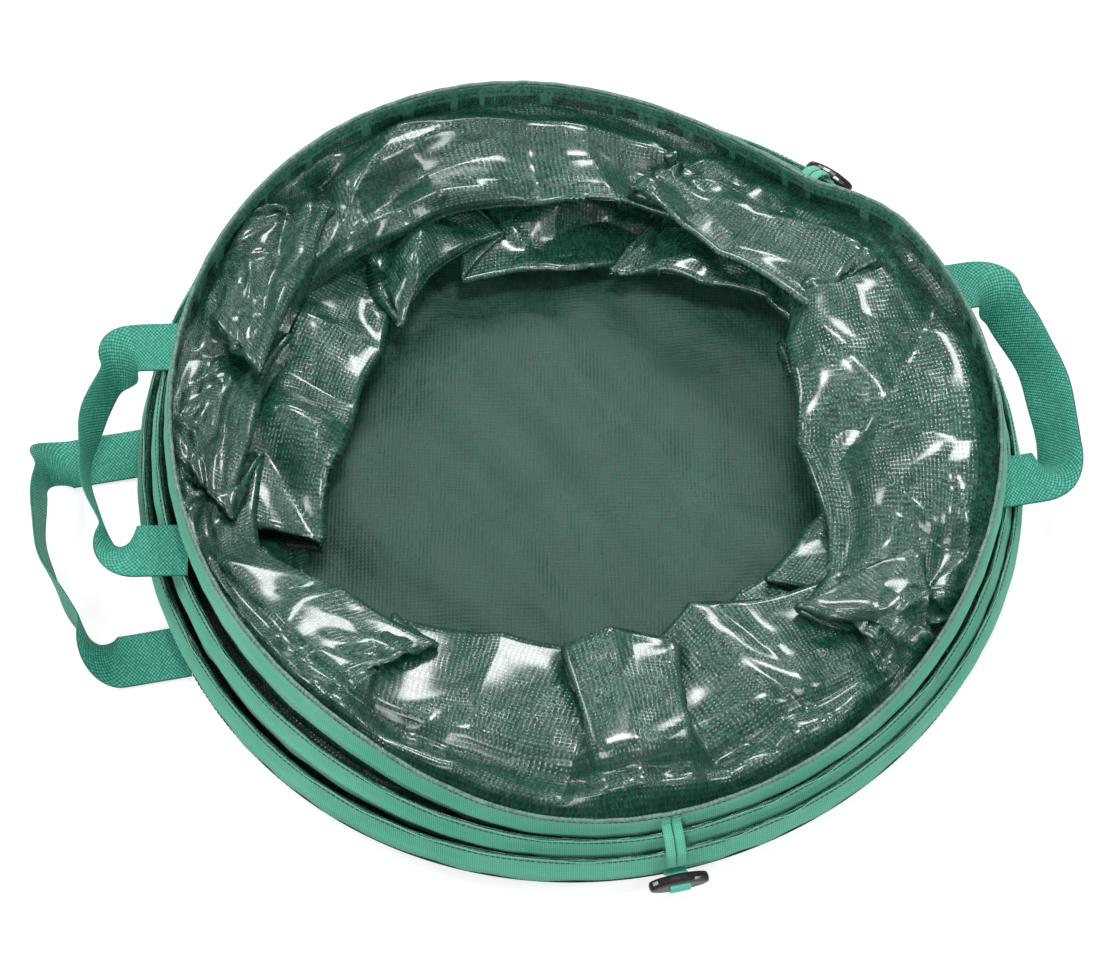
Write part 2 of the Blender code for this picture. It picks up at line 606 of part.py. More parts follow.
def add_closure(place, bearing):
    """One closure: the strap from the rim, and the toggle on its tab below it."""
    half = STRAP_THICKNESS / 2
    lie = STRAP_CLEARANCE + half
    up = HALF_BAND - STRAP_CLEARANCE
    low = FLANK_END + TAPE_THICKNESS + STRAP_CLEARANCE
    rest = MARGIN + FIT_GAP + half
    middle_edge = (band_radius(MIDDLE, bearing, MARGIN, HALF_BAND),
                   band_height(MIDDLE, bearing, MARGIN, HALF_BAND))
    bottom_edge = (band_radius(BOTTOM, bearing, MARGIN, HALF_BAND),
                   band_height(BOTTOM, bearing, MARGIN, HALF_BAND))
    hinge = np.array((middle_edge[0] + lie, middle_edge[1] + lie))
    dip = np.array((math.cos(STRAP_DIP), -math.sin(STRAP_DIP)))
    near = hinge - dip * (lie + FIT_GAP)
    level = near[1] - band_height(TOP, bearing, rest, 0)
    leave = max(low, level / math.cos(lean_at(bearing)) + STRAP_CLEARANCE)
    anchor = [(band_radius(TOP, bearing, rest, up), band_height(TOP, bearing, rest, up)),
              (band_radius(TOP, bearing, rest, leave), band_height(TOP, bearing, rest, leave)),
              near, hinge - dip * (half + FIT_GAP)]
    add_part("closure_anchor_" + place,
             strip_body(bearing, anchor, STRAP_WIDTH, STRAP_THICKNESS), BAND_FABRIC)
    toggle_top = TOGGLE_CENTRE_HEIGHT + TOGGLE_HEIGHT / 2
    end = (ring_radius(BOTTOM, bearing) + BULGE + FIT_GAP, toggle_top + lie)
    strap = [hinge - dip * back * half for back, _ in NOSE_SHARES]
    strap += [hinge, hinge + dip * STRAP_CLEARANCE,
              (bottom_edge[0] + lie, bottom_edge[1] + lie), end]
    origin = at_bearing(bearing, *hinge)
    loop = add_part("closure_loop_" + place,
                    strip_body(bearing, strap, STRAP_WIDTH, STRAP_THICKNESS,
                               [thick for _, thick in NOSE_SHARES]),
                    BAND_FABRIC, origin)
    slit_path = [np.array(point) for point in strap[-3:]]
    for i, j in ((0, 1), (2, 1)):
        run = slit_path[j] - slit_path[i]
        slit_path[i] = slit_path[i] + run * STRAP_SLIT_MARGIN / np.linalg.norm(run)
    cutter = add_part("slit_cutter_" + place,
                      strip_body(bearing, slit_path, STRAP_SLIT, 4 * STRAP_THICKNESS),
                      BAND_FABRIC, origin)
    cut_with(loop, cutter)
    add_toggle(place, bearing)


def box_body(bearing, low, high):
    """A box from corner to corner in a bearing's own radius, sideways and height."""
    return loft([[at_bearing(bearing, x, z, y) for y, z in (
        (low[1], low[2]), (high[1], low[2]), (high[1], high[2]), (low[1], high[2]))]
        for x in (low[0], high[0])], False)


def toggle_outline(inset):
    """The toggle's oval outline, drawn in by an inset, as sideways and height."""
    a, b = TOGGLE_LENGTH / 2 - inset, TOGGLE_HEIGHT / 2 - inset
    count = 24
    return [(a * math.cos(2 * math.pi * i / count), b * math.sin(2 * math.pi * i / count))
            for i in range(count)]


def add_toggle(place, bearing):
    """The moulded oval with its centre bar, the webbing eye round the bar, the tab."""
    bulge = ring_radius(BOTTOM, bearing) + BULGE
    eye_reach = TOGGLE_THICKNESS / 2 + FIT_GAP + EYE_THICKNESS
    centre = bulge + FIT_GAP + TAB_REACH + FIT_GAP + eye_reach
    half = TOGGLE_THICKNESS / 2
    height = TOGGLE_CENTRE_HEIGHT
    rows = ((-half, 2 * TOGGLE_EDGE), (-half + TOGGLE_EDGE / 2, TOGGLE_EDGE / 2),
            (-half + 2 * TOGGLE_EDGE, 0.0), (half - 2 * TOGGLE_EDGE, 0.0),
            (half - TOGGLE_EDGE / 2, TOGGLE_EDGE / 2), (half, 2 * TOGGLE_EDGE))
    body = loft([[at_bearing(bearing, centre + x, height + z, y)
                  for y, z in toggle_outline(inset)] for x, inset in rows], False)
    origin = at_bearing(bearing, centre, height)
    toggle = add_part("toggle_" + place, body, BLACK_PLASTIC, origin)
    slot_half = EYE_WIDTH / 2 + FIT_GAP
    for side in (-1, 1):
        near, far = side * TOGGLE_BAR / 2, side * (TOGGLE_BAR / 2 + TOGGLE_SLOT)
        low = (centre - 2 * half, -slot_half, height + min(near, far))
        high = (centre + 2 * half, slot_half, height + max(near, far))
        cutter = add_part("slot_cutter_" + place + str(side),
                          box_body(bearing, low, high), BLACK_PLASTIC, origin)
        cut_with(toggle, cutter)
    inner_x, inner_z = half + FIT_GAP, TOGGLE_BAR / 2 + FIT_GAP
    sections = []
    for y in (-EYE_WIDTH / 2, EYE_WIDTH / 2):
        sections.append([at_bearing(bearing, centre + x, height + z, y) for x, z in (
            (-inner_x, -inner_z), (inner_x, -inner_z), (inner_x, inner_z),
            (-inner_x, inner_z))])
        grow = EYE_THICKNESS
        sections.append([at_bearing(bearing, centre + x, height + z, y) for x, z in (
            (-inner_x - grow, -inner_z - grow), (inner_x + grow, -inner_z - grow),
            (inner_x + grow, inner_z + grow), (-inner_x - grow, inner_z + grow))])
    eye = loft([sections[0], sections[1], sections[3], sections[2]], True)
    add_part("toggle_eye_" + place, eye, WEBBING, origin)
    lie = FIT_GAP + EYE_THICKNESS / 2
    turn = turn_height(BOTTOM, bearing)
    low_out = MARGIN + lie
    foot = -HALF_BAND + STRAP_CLEARANCE
    knee = -FLANK_END - TAPE_THICKNESS - STRAP_CLEARANCE
    tab = [(band_radius(BOTTOM, bearing, low_out, foot), turn + foot),
           (band_radius(BOTTOM, bearing, low_out, knee), turn + knee),
           (bulge + lie, height - TOGGLE_BAR),
           (centre - eye_reach - FIT_GAP - STRAP_CLEARANCE, height),
           (centre - eye_reach - FIT_GAP, height)]
    add_part("toggle_tab_" + place,
             strip_body(bearing, tab, EYE_WIDTH, EYE_THICKNESS), WEBBING)


def build():
    for obj in list(bpy.data.objects):
        bpy.data.objects.remove(obj, do_unlink=True)
    add_sleeves()
    add_spring()
    add_part("wall_lower", wall_course(BOTTOM), WALL_FABRIC)
    add_part("wall_upper", wall_course(MIDDLE), WALL_FABRIC)
    add_floor()
    add_handles()
    add_closure("front", FRONT_CLOSURE)
    add_closure("back", BACK_CLOSURE)


build()
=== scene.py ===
import json
import math

import bpy
import numpy as np
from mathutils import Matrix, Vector


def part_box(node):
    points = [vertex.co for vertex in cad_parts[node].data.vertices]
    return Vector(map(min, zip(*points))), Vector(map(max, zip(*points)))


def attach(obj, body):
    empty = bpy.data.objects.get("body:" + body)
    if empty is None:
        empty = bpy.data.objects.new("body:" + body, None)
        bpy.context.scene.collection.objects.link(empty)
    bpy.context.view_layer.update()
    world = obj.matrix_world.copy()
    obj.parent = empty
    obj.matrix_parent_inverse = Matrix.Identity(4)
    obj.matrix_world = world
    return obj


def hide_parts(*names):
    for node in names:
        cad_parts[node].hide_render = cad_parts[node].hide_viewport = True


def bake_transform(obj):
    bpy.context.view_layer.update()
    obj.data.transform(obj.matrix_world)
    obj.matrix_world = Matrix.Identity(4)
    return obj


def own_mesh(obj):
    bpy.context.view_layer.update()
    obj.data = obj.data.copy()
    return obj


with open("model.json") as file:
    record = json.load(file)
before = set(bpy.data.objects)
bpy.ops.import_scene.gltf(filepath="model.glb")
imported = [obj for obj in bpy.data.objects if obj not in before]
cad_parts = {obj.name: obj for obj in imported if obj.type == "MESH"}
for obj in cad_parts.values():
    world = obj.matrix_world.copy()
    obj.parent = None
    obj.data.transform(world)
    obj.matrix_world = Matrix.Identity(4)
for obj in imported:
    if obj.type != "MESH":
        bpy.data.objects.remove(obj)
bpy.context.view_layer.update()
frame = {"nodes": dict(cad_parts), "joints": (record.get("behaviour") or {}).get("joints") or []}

# The photograph's view: a long lens in front of the bag, looking down into its mouth.
# The bag is not quite in the middle of the picture, which the lens shift gives.
CAMERA_DISTANCE = 2.0


def add_object(name, data):
    """A new object in the scene, at the origin."""
    made = bpy.data.objects.new(name, data)
    bpy.context.scene.collection.objects.link(made)
    return made


def aim(made, target):
    """Turns a camera or a lamp to look at a point."""
    made.rotation_euler = (target - made.location).to_track_quat("-Z", "Y").to_euler()


view = bpy.data.cameras.new("photo_view")
view.lens = 98.28
view.shift_x = -0.0193
view.shift_y = -0.0409
camera = add_object("photo_view", view)
bpy.context.scene.camera = camera
looked_at = Vector((0.0, 0.0, 0.05))
look_down = math.radians(58)
camera.location = looked_at + CAMERA_DISTANCE * Vector(
    (0.0, -math.cos(look_down), math.sin(look_down)))
aim(camera, looked_at)


def fill(tree, node, inputs):
    """Sets a node's inputs to values, or links them to other nodes' outputs."""
    for socket, value in dict(inputs).items():
        if isinstance(value, bpy.types.NodeSocket):
            tree.links.new(value, node.inputs[socket])
        else:
            node.inputs[socket].default_value = value


def add_node(tree, kind, inputs=(), **settings):
    """Adds a node with its settings, and fills its inputs."""
    node = tree.nodes.new(kind)
    for setting, value in settings.items():
        setattr(node, setting, value)
    fill(tree, node, inputs)
    return node


def linear(hex_colour):
    """An sRGB hex colour as the linear colour that a shader takes."""
    parts = [int(hex_colour[i:i + 2], 16) / 255 for i in (1, 3, 5)]
    return (*[p / 12.92 if p <= 0.04045 else ((p + 0.055) / 1.055) ** 2.4
              for p in parts], 1.0)


def new_material(name):
    made = bpy.data.materials.new(name)
    made.use_nodes = True
    tree = made.node_tree
    return made, tree, tree.nodes["Principled BSDF"]


# The studio: a white sweep under and behind the bag, and soft boxes above it. The
# sweep shows pure white to the camera and still takes the bag's faint shadow.
bpy.context.scene.view_settings.view_transform = "Standard"
sweep_mesh = bpy.data.meshes.new("studio_sweep")
sweep_mesh.from_pydata([(-6, -6, -0.0006), (6, -6, -0.0006), (6, 6, -0.0006),
                        (-6, 6, -0.0006)], [], [(0, 1, 2, 3)])
sweep = add_object("studio_sweep", sweep_mesh)
paper, tree, shader = new_material("white_paper")
fill(tree, shader, {"Base Color": linear("#b4b4b4"), "Roughness": 0.9})
rays = add_node(tree, "ShaderNodeLightPath")
seen = add_node(tree, "ShaderNodeMath", {0: rays.outputs["Is Camera Ray"],
                                         1: rays.outputs["Is Glossy Ray"]},
                operation="MAXIMUM")
seen = add_node(tree, "ShaderNodeMath", {0: seen.outputs[0],
                                         1: rays.outputs["Is Transmission Ray"]},
                operation="MAXIMUM")
lit = add_node(tree, "ShaderNodeMath", {0: seen.outputs[0], 1: 0.66}, operation="MULTIPLY")
glow = add_node(tree, "ShaderNodeEmission", {"Color": (1.0, 1.0, 1.0, 1.0),
                                             "Strength": lit.outputs[0]})
both = add_node(tree, "ShaderNodeAddShader", {0: shader.outputs[0], 1: glow.outputs[0]})
tree.links.new(both.outputs[0], tree.nodes["Material Output"].inputs["Surface"])
sweep_mesh.materials.append(paper)

world = bpy.data.worlds.new("studio")
bpy.context.scene.world = world
world.use_nodes = True
tree = world.node_tree
rays = add_node(tree, "ShaderNodeLightPath")
lit = add_node(tree, "ShaderNodeMapRange", {"Value": rays.outputs["Is Camera Ray"],
                                            "To Min": 0.32, "To Max": 1.0})
fill(tree, tree.nodes["Background"], {"Color": (1.0, 1.0, 1.0, 1.0),
                                      "Strength": lit.outputs["Result"]})

soft_boxes = [
    ("soft_box_back", (0.35, 1.9, 1.7), 0.7, 38),
    ("soft_box_left", (-1.9, 0.5, 1.6), 0.6, 22),
    ("soft_box_right", (1.7, -0.5, 1.7), 0.5, 15),
    ("soft_box_front", (-0.4, -2.1, 1.5), 0.9, 30),
    ("soft_box_above", (0.1, 0.0, 2.3), 0.4, 24),
]
for name, place, size, power in soft_boxes:
    lamp = bpy.data.lights.new(name, "AREA")
    lamp.shape = "SQUARE"
    lamp.size = size
    lamp.energy = power
    box = add_object(name, lamp)
    box.location = place
    aim(box, Vector((0, 0, 0.03)))


# The three turns of the coil: every sleeve, wall and strap is laid along them. Their
# places come from the frame, whose facings have a corner at each of 64 bearings.
TURN_STEPS = 64
HALF_BAND = 0.0175


def turn_edges(node):
    """A facing's lower and upper edge, as radius and height at each bearing."""
    points = np.array([v.co[:] for v in frame["nodes"][node].data.vertices])
    radius = np.hypot(points[:, 0], points[:, 1])
    bearing = np.degrees(np.arctan2(points[:, 1], points[:, 0]))
    step = np.rint(bearing * TURN_STEPS / 360).astype(int) % TURN_STEPS
    edges = []
    for k in range(TURN_STEPS):
        here = np.where(step == k)[0]
        here = here[np.argsort(points[here, 2])]
        low, high = here[:len(here) // 2], here[len(here) // 2:]
        low, high = low[np.argmax(radius[low])], high[np.argmax(radius[high])]
        edges.append((radius[low], points[low, 2], radius[high], points[high, 2]))
    return np.array(edges)


def read_round(values, bearings):
    """Reads a closed row of values at any bearing, with a smooth curve through them."""
    place = (np.asarray(bearings, float) % 360) / 360 * len(values)
    i = np.floor(place).astype(int)
    t = (place - i)[..., None]
    a, b, c, d = (values[(i + k) % len(values)] for k in (-1, 0, 1, 2))
    return b + 0.5 * t * (c - a + t * (2 * a - 5 * b + 4 * c - d
                                       + t * (3 * (b - c) + d - a)))


turns = {name: turn_edges(name + "_facing") for name in ("bottom", "middle", "top")}


def on_turn(name, bearings, out, up):
    """Radius and height out from a sleeve's facing, and up along its leaning band."""
    low_r, low_z, high_r, high_z = np.moveaxis(read_round(turns[name], bearings), -1, 0)
    rise_r, rise_z = high_r - low_r, high_z - low_z
    length = np.hypot(rise_r, rise_z)
    rise_r, rise_z = rise_r / length, rise_z / length
    return ((low_r + high_r) / 2 + up * rise_r + out * rise_z,
            (low_z + high_z) / 2 + up * rise_z - out * rise_r)


def round_points(bearings, radius, height):
    a = np.radians(bearings)
    return np.stack([radius * np.cos(a), radius * np.sin(a), height + 0 * a], axis=-1)


def outward_at(bearing):
    """The level direction that points out of the bag at a bearing in degrees."""
    a = math.radians(bearing)
    return Vector((math.cos(a), math.sin(a), 0.0))


def ripple(bearings, seed, waves, fall=0.7):
    """An uneven ripple round the bag, about 1 high, of the given numbers of waves."""
    rng = np.random.default_rng(seed)
    total = 0 * np.asarray(bearings, float)
    for count in waves:
        total = total + rng.normal(0, fall) * np.sin(
            np.radians(bearings) * count + rng.uniform(0, 2 * math.pi))
    return total / math.sqrt(len(waves))


def cloth_piece(name, grid, u, v, finish, around=True, thickness=0.0):
    """A sheet of cloth from rows of points, with its own threads' directions as UV."""
    rows, columns = grid.shape[:2]
    wide = columns if around else columns - 1
    faces = [(j * columns + i, j * columns + (i + 1) % columns,
              (j + 1) * columns + (i + 1) % columns, (j + 1) * columns + i)
             for j in range(rows - 1) for i in range(wide)]
    mesh = bpy.data.meshes.new(name)
    mesh.from_pydata(grid.reshape(-1, 3).tolist(), [], faces)
    layer = mesh.uv_layers.new(name="cloth")
    corners = [(u[i + a], v[j + b]) for j in range(rows - 1) for i in range(wide)
               for a, b in ((0, 0), (1, 0), (1, 1), (0, 1))]
    layer.data.foreach_set("uv", np.array(corners, np.float32).ravel())
    mesh.materials.append(finish)
    mesh.shade_smooth()
    piece = add_object(name, mesh)
    if thickness:
        doubled = piece.modifiers.new("cloth_thickness", "SOLIDIFY")
        doubled.thickness = abs(thickness)
        doubled.offset = -1.0 if thickness > 0 else 1.0
        plain_mesh(piece)
    return piece


def plain_mesh(piece):
    """Turns a piece's live modifiers into a plain mesh."""
    bpy.context.view_layer.update()
    seen_now = piece.evaluated_get(bpy.context.evaluated_depsgraph_get())
    mesh = bpy.data.meshes.new_from_object(seen_now)
    piece.modifiers.clear()
    piece.data = mesh
    mesh.name = piece.name
    return piece


# The sleeves' outer bands: 35 mm strips of 600 denier Oxford sewn over the spring
# wire, matt and mid green, with a black binding thread along each upper edge.
OXFORD_PITCH = 0.0013
# At this scale a wave texture repeats once in each unit of length
WAVE_SCALE = 0.314


def weave(tree, threads, pitch):
    """A plain weave as a height from 0 to 1, along its threads' own directions."""
    fine = {"Vector": threads, "Scale": WAVE_SCALE / pitch}
    warp, weft = (add_node(tree, "ShaderNodeTexWave", fine, bands_direction=way)
                  for way in "XY")
    return add_node(tree, "ShaderNodeMath", {0: warp.outputs["Fac"],
                                             1: weft.outputs["Fac"]},
                    operation="MULTIPLY").outputs[0]


def mix(tree, share, low, high):
    """A colour between two, by a share from 0 to 1."""
    return add_node(tree, "ShaderNodeMix", {0: share, 6: low, 7: high},
                    data_type="RGBA").outputs[2]


oxford, tree, shader = new_material("woven_oxford_600d")
# Oxford is a basket weave of dull polyester yarn, so it has no highlight to speak of
cloth = add_node(tree, "ShaderNodeUVMap", uv_map="cloth")
basket = weave(tree, cloth.outputs[0], OXFORD_PITCH)
place = add_node(tree, "ShaderNodeTexCoord")
patch = add_node(tree, "ShaderNodeTexNoise", {"Vector": place.outputs["Object"],
                                              "Scale": 14.0, "Detail": 4.0})
soft = add_node(tree, "ShaderNodeMapRange", {"Value": patch.outputs["Fac"],
                                             "From Min": 0.4, "From Max": 0.7,
                                             "To Max": 0.5})
# The gaps between the yarns are painted darker than the yarns' tops, as painted shade.
yarn_with_painted_gap_shade = mix(tree, basket, linear("#3a967a"), linear("#75c5a8"))
faded = mix(tree, soft.outputs["Result"], yarn_with_painted_gap_shade, linear("#70ba9f"))
raised = add_node(tree, "ShaderNodeBump", {"Height": basket, "Strength": 0.5,
                                           "Distance": 0.0004})
fill(tree, shader, {"Base Color": faded, "Normal": raised.outputs[0], "Roughness": 0.88,
                    "Specular IOR Level": 0.25, "Sheen Weight": 0.15})

# The way round the rim, which is also the length of each strip of cloth
CLOTH_ROUND = 1.76
band_bearings = np.arange(480) * 0.75
band_u = np.arange(481) * 0.75 / 360 * CLOTH_ROUND
band_ups = np.array([-1.0, -0.97, -0.8, -0.6, -0.45, -0.3, -0.18, -0.08, 0.0, 0.08, 0.18,
                     0.3, 0.45, 0.6, 0.8, 0.97, 1.0]) * HALF_BAND
bands = {"bottom": "base", "middle": "middle_turn", "top": "rim"}
for seed, (name, body) in enumerate(bands.items()):
    rows = []
    for up in band_ups:
        share = up / HALF_BAND
        out = 0.0011 + 0.0032 * math.exp(-(up / 0.0052) ** 2) - 0.0007 * (abs(share) > 0.9)
        sway = 0.0004 * ripple(band_bearings, 11 + seed, range(9, 40, 3))
        puff = (0.0006 * ripple(band_bearings, 21 + seed, range(14, 60, 4)) * share
                + 0.0003 * ripple(band_bearings, 31 + seed, range(30, 90, 5)))
        rows.append(round_points(band_bearings, *on_turn(name, band_bearings, out + puff,
                                                         up + sway)))
    tape = cloth_piece(name + "_band", np.array(rows), band_u, band_ups, oxford,
                       thickness=0.0006)
    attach(tape, body)
    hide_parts(name + "_sleeve")


# The wall cloth: woven polypropylene tape, laminated with a clear film on both sides.
# Each course is one strip sewn to two sleeves, and the same cloth backs the sleeves.
TAPE_PITCH = 0.0026


def laminate(name, low, high, roughness, crumple):
    """The laminated cloth, glossy on the wall and duller where it is flat or worn."""
    made, tree, shader = new_material(name)
    # The film is smooth but follows the flat tapes under it, which makes it glitter
    cloth = add_node(tree, "ShaderNodeUVMap", uv_map="cloth")
    place = add_node(tree, "ShaderNodeTexCoord")
    drift = add_node(tree, "ShaderNodeTexNoise", {"Vector": cloth.outputs[0], "Scale": 45.0,
                                                  "Detail": 2.0})
    wander = add_node(tree, "ShaderNodeVectorMath",
                      {0: drift.outputs["Color"], 1: (0.0016, 0.0016, 0.0)},
                      operation="MULTIPLY")
    uneven = add_node(tree, "ShaderNodeVectorMath", {0: cloth.outputs[0],
                                                     1: wander.outputs[0]}, operation="ADD")
    over = weave(tree, uneven.outputs[0], TAPE_PITCH)
    cell = add_node(tree, "ShaderNodeVectorMath", {0: uneven.outputs[0],
                                                   1: (TAPE_PITCH / 2, TAPE_PITCH, 1.0)},
                    operation="SNAP")
    chance = add_node(tree, "ShaderNodeTexWhiteNoise", {"Vector": cell.outputs[0]})
    patch = add_node(tree, "ShaderNodeTexNoise", {"Vector": place.outputs["Object"],
                                                  "Scale": 18.0, "Detail": 3.0})
    tone = add_node(tree, "ShaderNodeMath", {0: chance.outputs["Value"],
                                             1: patch.outputs["Fac"]}, operation="MULTIPLY")
    colour = mix(tree, tone.outputs[0], linear(low), linear(high))
    gloss = add_node(tree, "ShaderNodeMapRange", {"Value": chance.outputs["Value"],
                                                  "To Min": roughness - 0.08,
                                                  "To Max": roughness + 0.08})
    # Handling leaves hard creases of two sizes, between flat unmarked facets
    bent = add_node(tree, "ShaderNodeTexNoise", {"Vector": cloth.outputs[0], "Scale": 14.0})
    pushed = add_node(tree, "ShaderNodeVectorMath",
                      {0: bent.outputs["Color"], 1: (0.03, 0.03, 0.0)}, operation="MULTIPLY")
    sheet = add_node(tree, "ShaderNodeVectorMath", {0: cloth.outputs[0],
                                                    1: pushed.outputs[0]}, operation="ADD")
    facet = add_node(tree, "ShaderNodeTexVoronoi", {"Vector": sheet.outputs[0],
                                                    "Scale": 26.0}, feature="F1")
    nick = add_node(tree, "ShaderNodeTexVoronoi", {"Vector": sheet.outputs[0],
                                                   "Scale": 85.0}, feature="F1")
    nicks = add_node(tree, "ShaderNodeMath", {0: nick.outputs["Distance"], 1: 0.22,
                                              2: facet.outputs["Distance"]},
                     operation="MULTIPLY_ADD")
    worn = add_node(tree, "ShaderNodeBump", {"Height": nicks.outputs[0],
                                             "Strength": crumple, "Distance": 0.012})
    raised = add_node(tree, "ShaderNodeBump", {"Height": over, "Strength": 0.6,
                                               "Distance": 0.0005,
                                               "Normal": worn.outputs[0]})
    tilt = add_node(tree, "ShaderNodeBump", {"Height": chance.outputs["Value"],
                                             "Strength": 0.3, "Distance": 0.0004,
                                             "Normal": raised.outputs[0]})
    fill(tree, shader, {"Base Color": colour, "Roughness": gloss.outputs["Result"],
                        "Normal": tilt.outputs[0], "IOR": 1.5})
    return made


wall_cloth = laminate("laminated_woven_polypropylene", "#12342a", "#2a6252", 0.25, 0.5)
tree = wall_cloth.node_tree
fill(tree, tree.nodes["Principled BSDF"], {"Coat Weight": 0.7, "Coat Roughness": 0.16})

# Pressed flat, each course lies between its two turns as a ring of flaps, pleated over
# each other toward the mouth. The corners of the flaps' inner edge are placed one by
# one, as bearing, radius and height in degrees and millimetres.
COURSE_LENGTH = 0.26
HALF_COURSE = COURSE_LENGTH / 2
upper_flaps = [
    [(320, 205, 50), (337, 179, 58), (357, 149, 62), (18, 153, 62), (27, 160, 60), (37, 187, 57)],
    [(31, 190, 69), (55, 173, 72), (78, 197, 70)],
    [(66, 193, 56), (90, 191, 63), (105, 191, 65), (128, 204, 65), (150, 218, 60)],
    [(135, 238, 82), (145, 215, 86), (160, 207, 88), (171, 209, 86)],
    [(160, 205, 66), (183, 213, 74), (198, 232, 76)],
    [(185, 208, 58), (204, 224, 66), (220, 192, 70), (241, 184, 70)],
    [(230, 178, 56), (253, 157, 60), (273, 159, 56), (279, 162, 55)],
    [(268, 165, 72), (278, 155, 75), (291, 171, 70)],
    [(283, 168, 52), (300, 148, 60), (310, 166, 60), (328, 195, 50)],
    [(317, 195, 68), (329, 214, 72), (337, 235, 68)]]
lower_flaps = [
    [(343, 170, 20), (3, 161, 26), (20, 160, 26), (34, 172, 22)],
    [(22, 180, 34), (44, 183, 36), (58, 164, 38), (80, 153, 36)],
    [(68, 171, 22), (94, 155, 32), (118, 165, 30)],
    [(106, 185, 42), (125, 173, 44), (139, 158, 40)],
    [(127, 190, 28), (149, 155, 40), (173, 150, 44), (202, 180, 40)],
    [(190, 185, 22), (212, 205, 28), (246, 180, 26)],
    [(236, 180, 36), (262, 165, 36), (296, 165, 34)],
    [(284, 160, 22), (316, 150, 32), (334, 160, 30)],
    [(322, 160, 42), (337, 165, 42), (355, 180, 40)]]
EDGE_RADIUS = 0.0022
EDGE_STEP = 0.0022
# How many places of the edge on either side its moving averages take in
EDGE_WINDOW = 60
SEAM_INSIDE = -0.0012
UPWARD = np.array([0, 0, 1.0])


def inner_edge(flaps):
    """The flaps' edge as one closed line, with a place at about every 2 mm of it."""
    corners, last = [], flaps[0][0][0]
    for k, flap in enumerate(flaps):
        ends = []
        for other, own in ((flaps[k - 1][-1], flap[0]), (flaps[(k + 1) % len(flaps)][0],
                                                         flap[-1])):
            ends.append(-1 if own[2] > other[2] else 1)
        row = []
        for bearing, radius, height in flap:
            last = last + (bearing - last + 180) % 360 - 180
            row.append((last, radius / 1000, height / 1000))
        (b, r, z), (c, q, y) = row[0], row[-1]
        up, down = ends[0] * EDGE_RADIUS, ends[1] * EDGE_RADIUS
        corners += [(b, r, z + 2 * up), (b - 0.9, r, z + up), *row,
                    (c + 0.9, q, y + down), (c, q, y + 2 * down)]
    corners = np.array(corners)
    corners = np.vstack([corners, corners[:1] + [[360, 0, 0]]])
    lengths = np.linalg.norm(np.diff(round_points(*corners.T), axis=0), axis=1)
    line = []
    for start, end, length in zip(corners[:-1], corners[1:], lengths):
        steps = max(1, round(length / EDGE_STEP))
        line += [start + (end - start) * k / steps for k in range(steps)]
    return np.array(line)


def creases(u, v, seed, count, reach, slope):
    """Straight sharp creases scattered over the cloth, as a height at each of its places."""
    rng = np.random.default_rng(seed)
    height = 0 * u
    for _ in range(count):
        turned, long = rng.uniform(0, math.pi), reach * rng.uniform(1.2, 2.6)
        wide, steep = reach * rng.uniform(0.6, 1.2), slope * rng.choice([-1, 1])
        du = (u - rng.uniform(0, CLOTH_ROUND)) % CLOTH_ROUND
        du = np.where(du > CLOTH_ROUND / 2, du - CLOTH_ROUND, du)
        dv = v - rng.uniform(0, COURSE_LENGTH)
        along = du * math.cos(turned) + dv * math.sin(turned)
        across = np.abs(dv * math.cos(turned) - du * math.sin(turned))
        height = height + steep * rng.uniform(0.5, 1.0) * (0.6 * wide - across) * np.exp(
            -0.5 * ((across / wide) ** 2 + (along / long) ** 2))
    return height


def near(bearings, middle, reach):
    off = (bearings - middle + 180) % 360 - 180
    return np.exp(-(off / reach) ** 2)


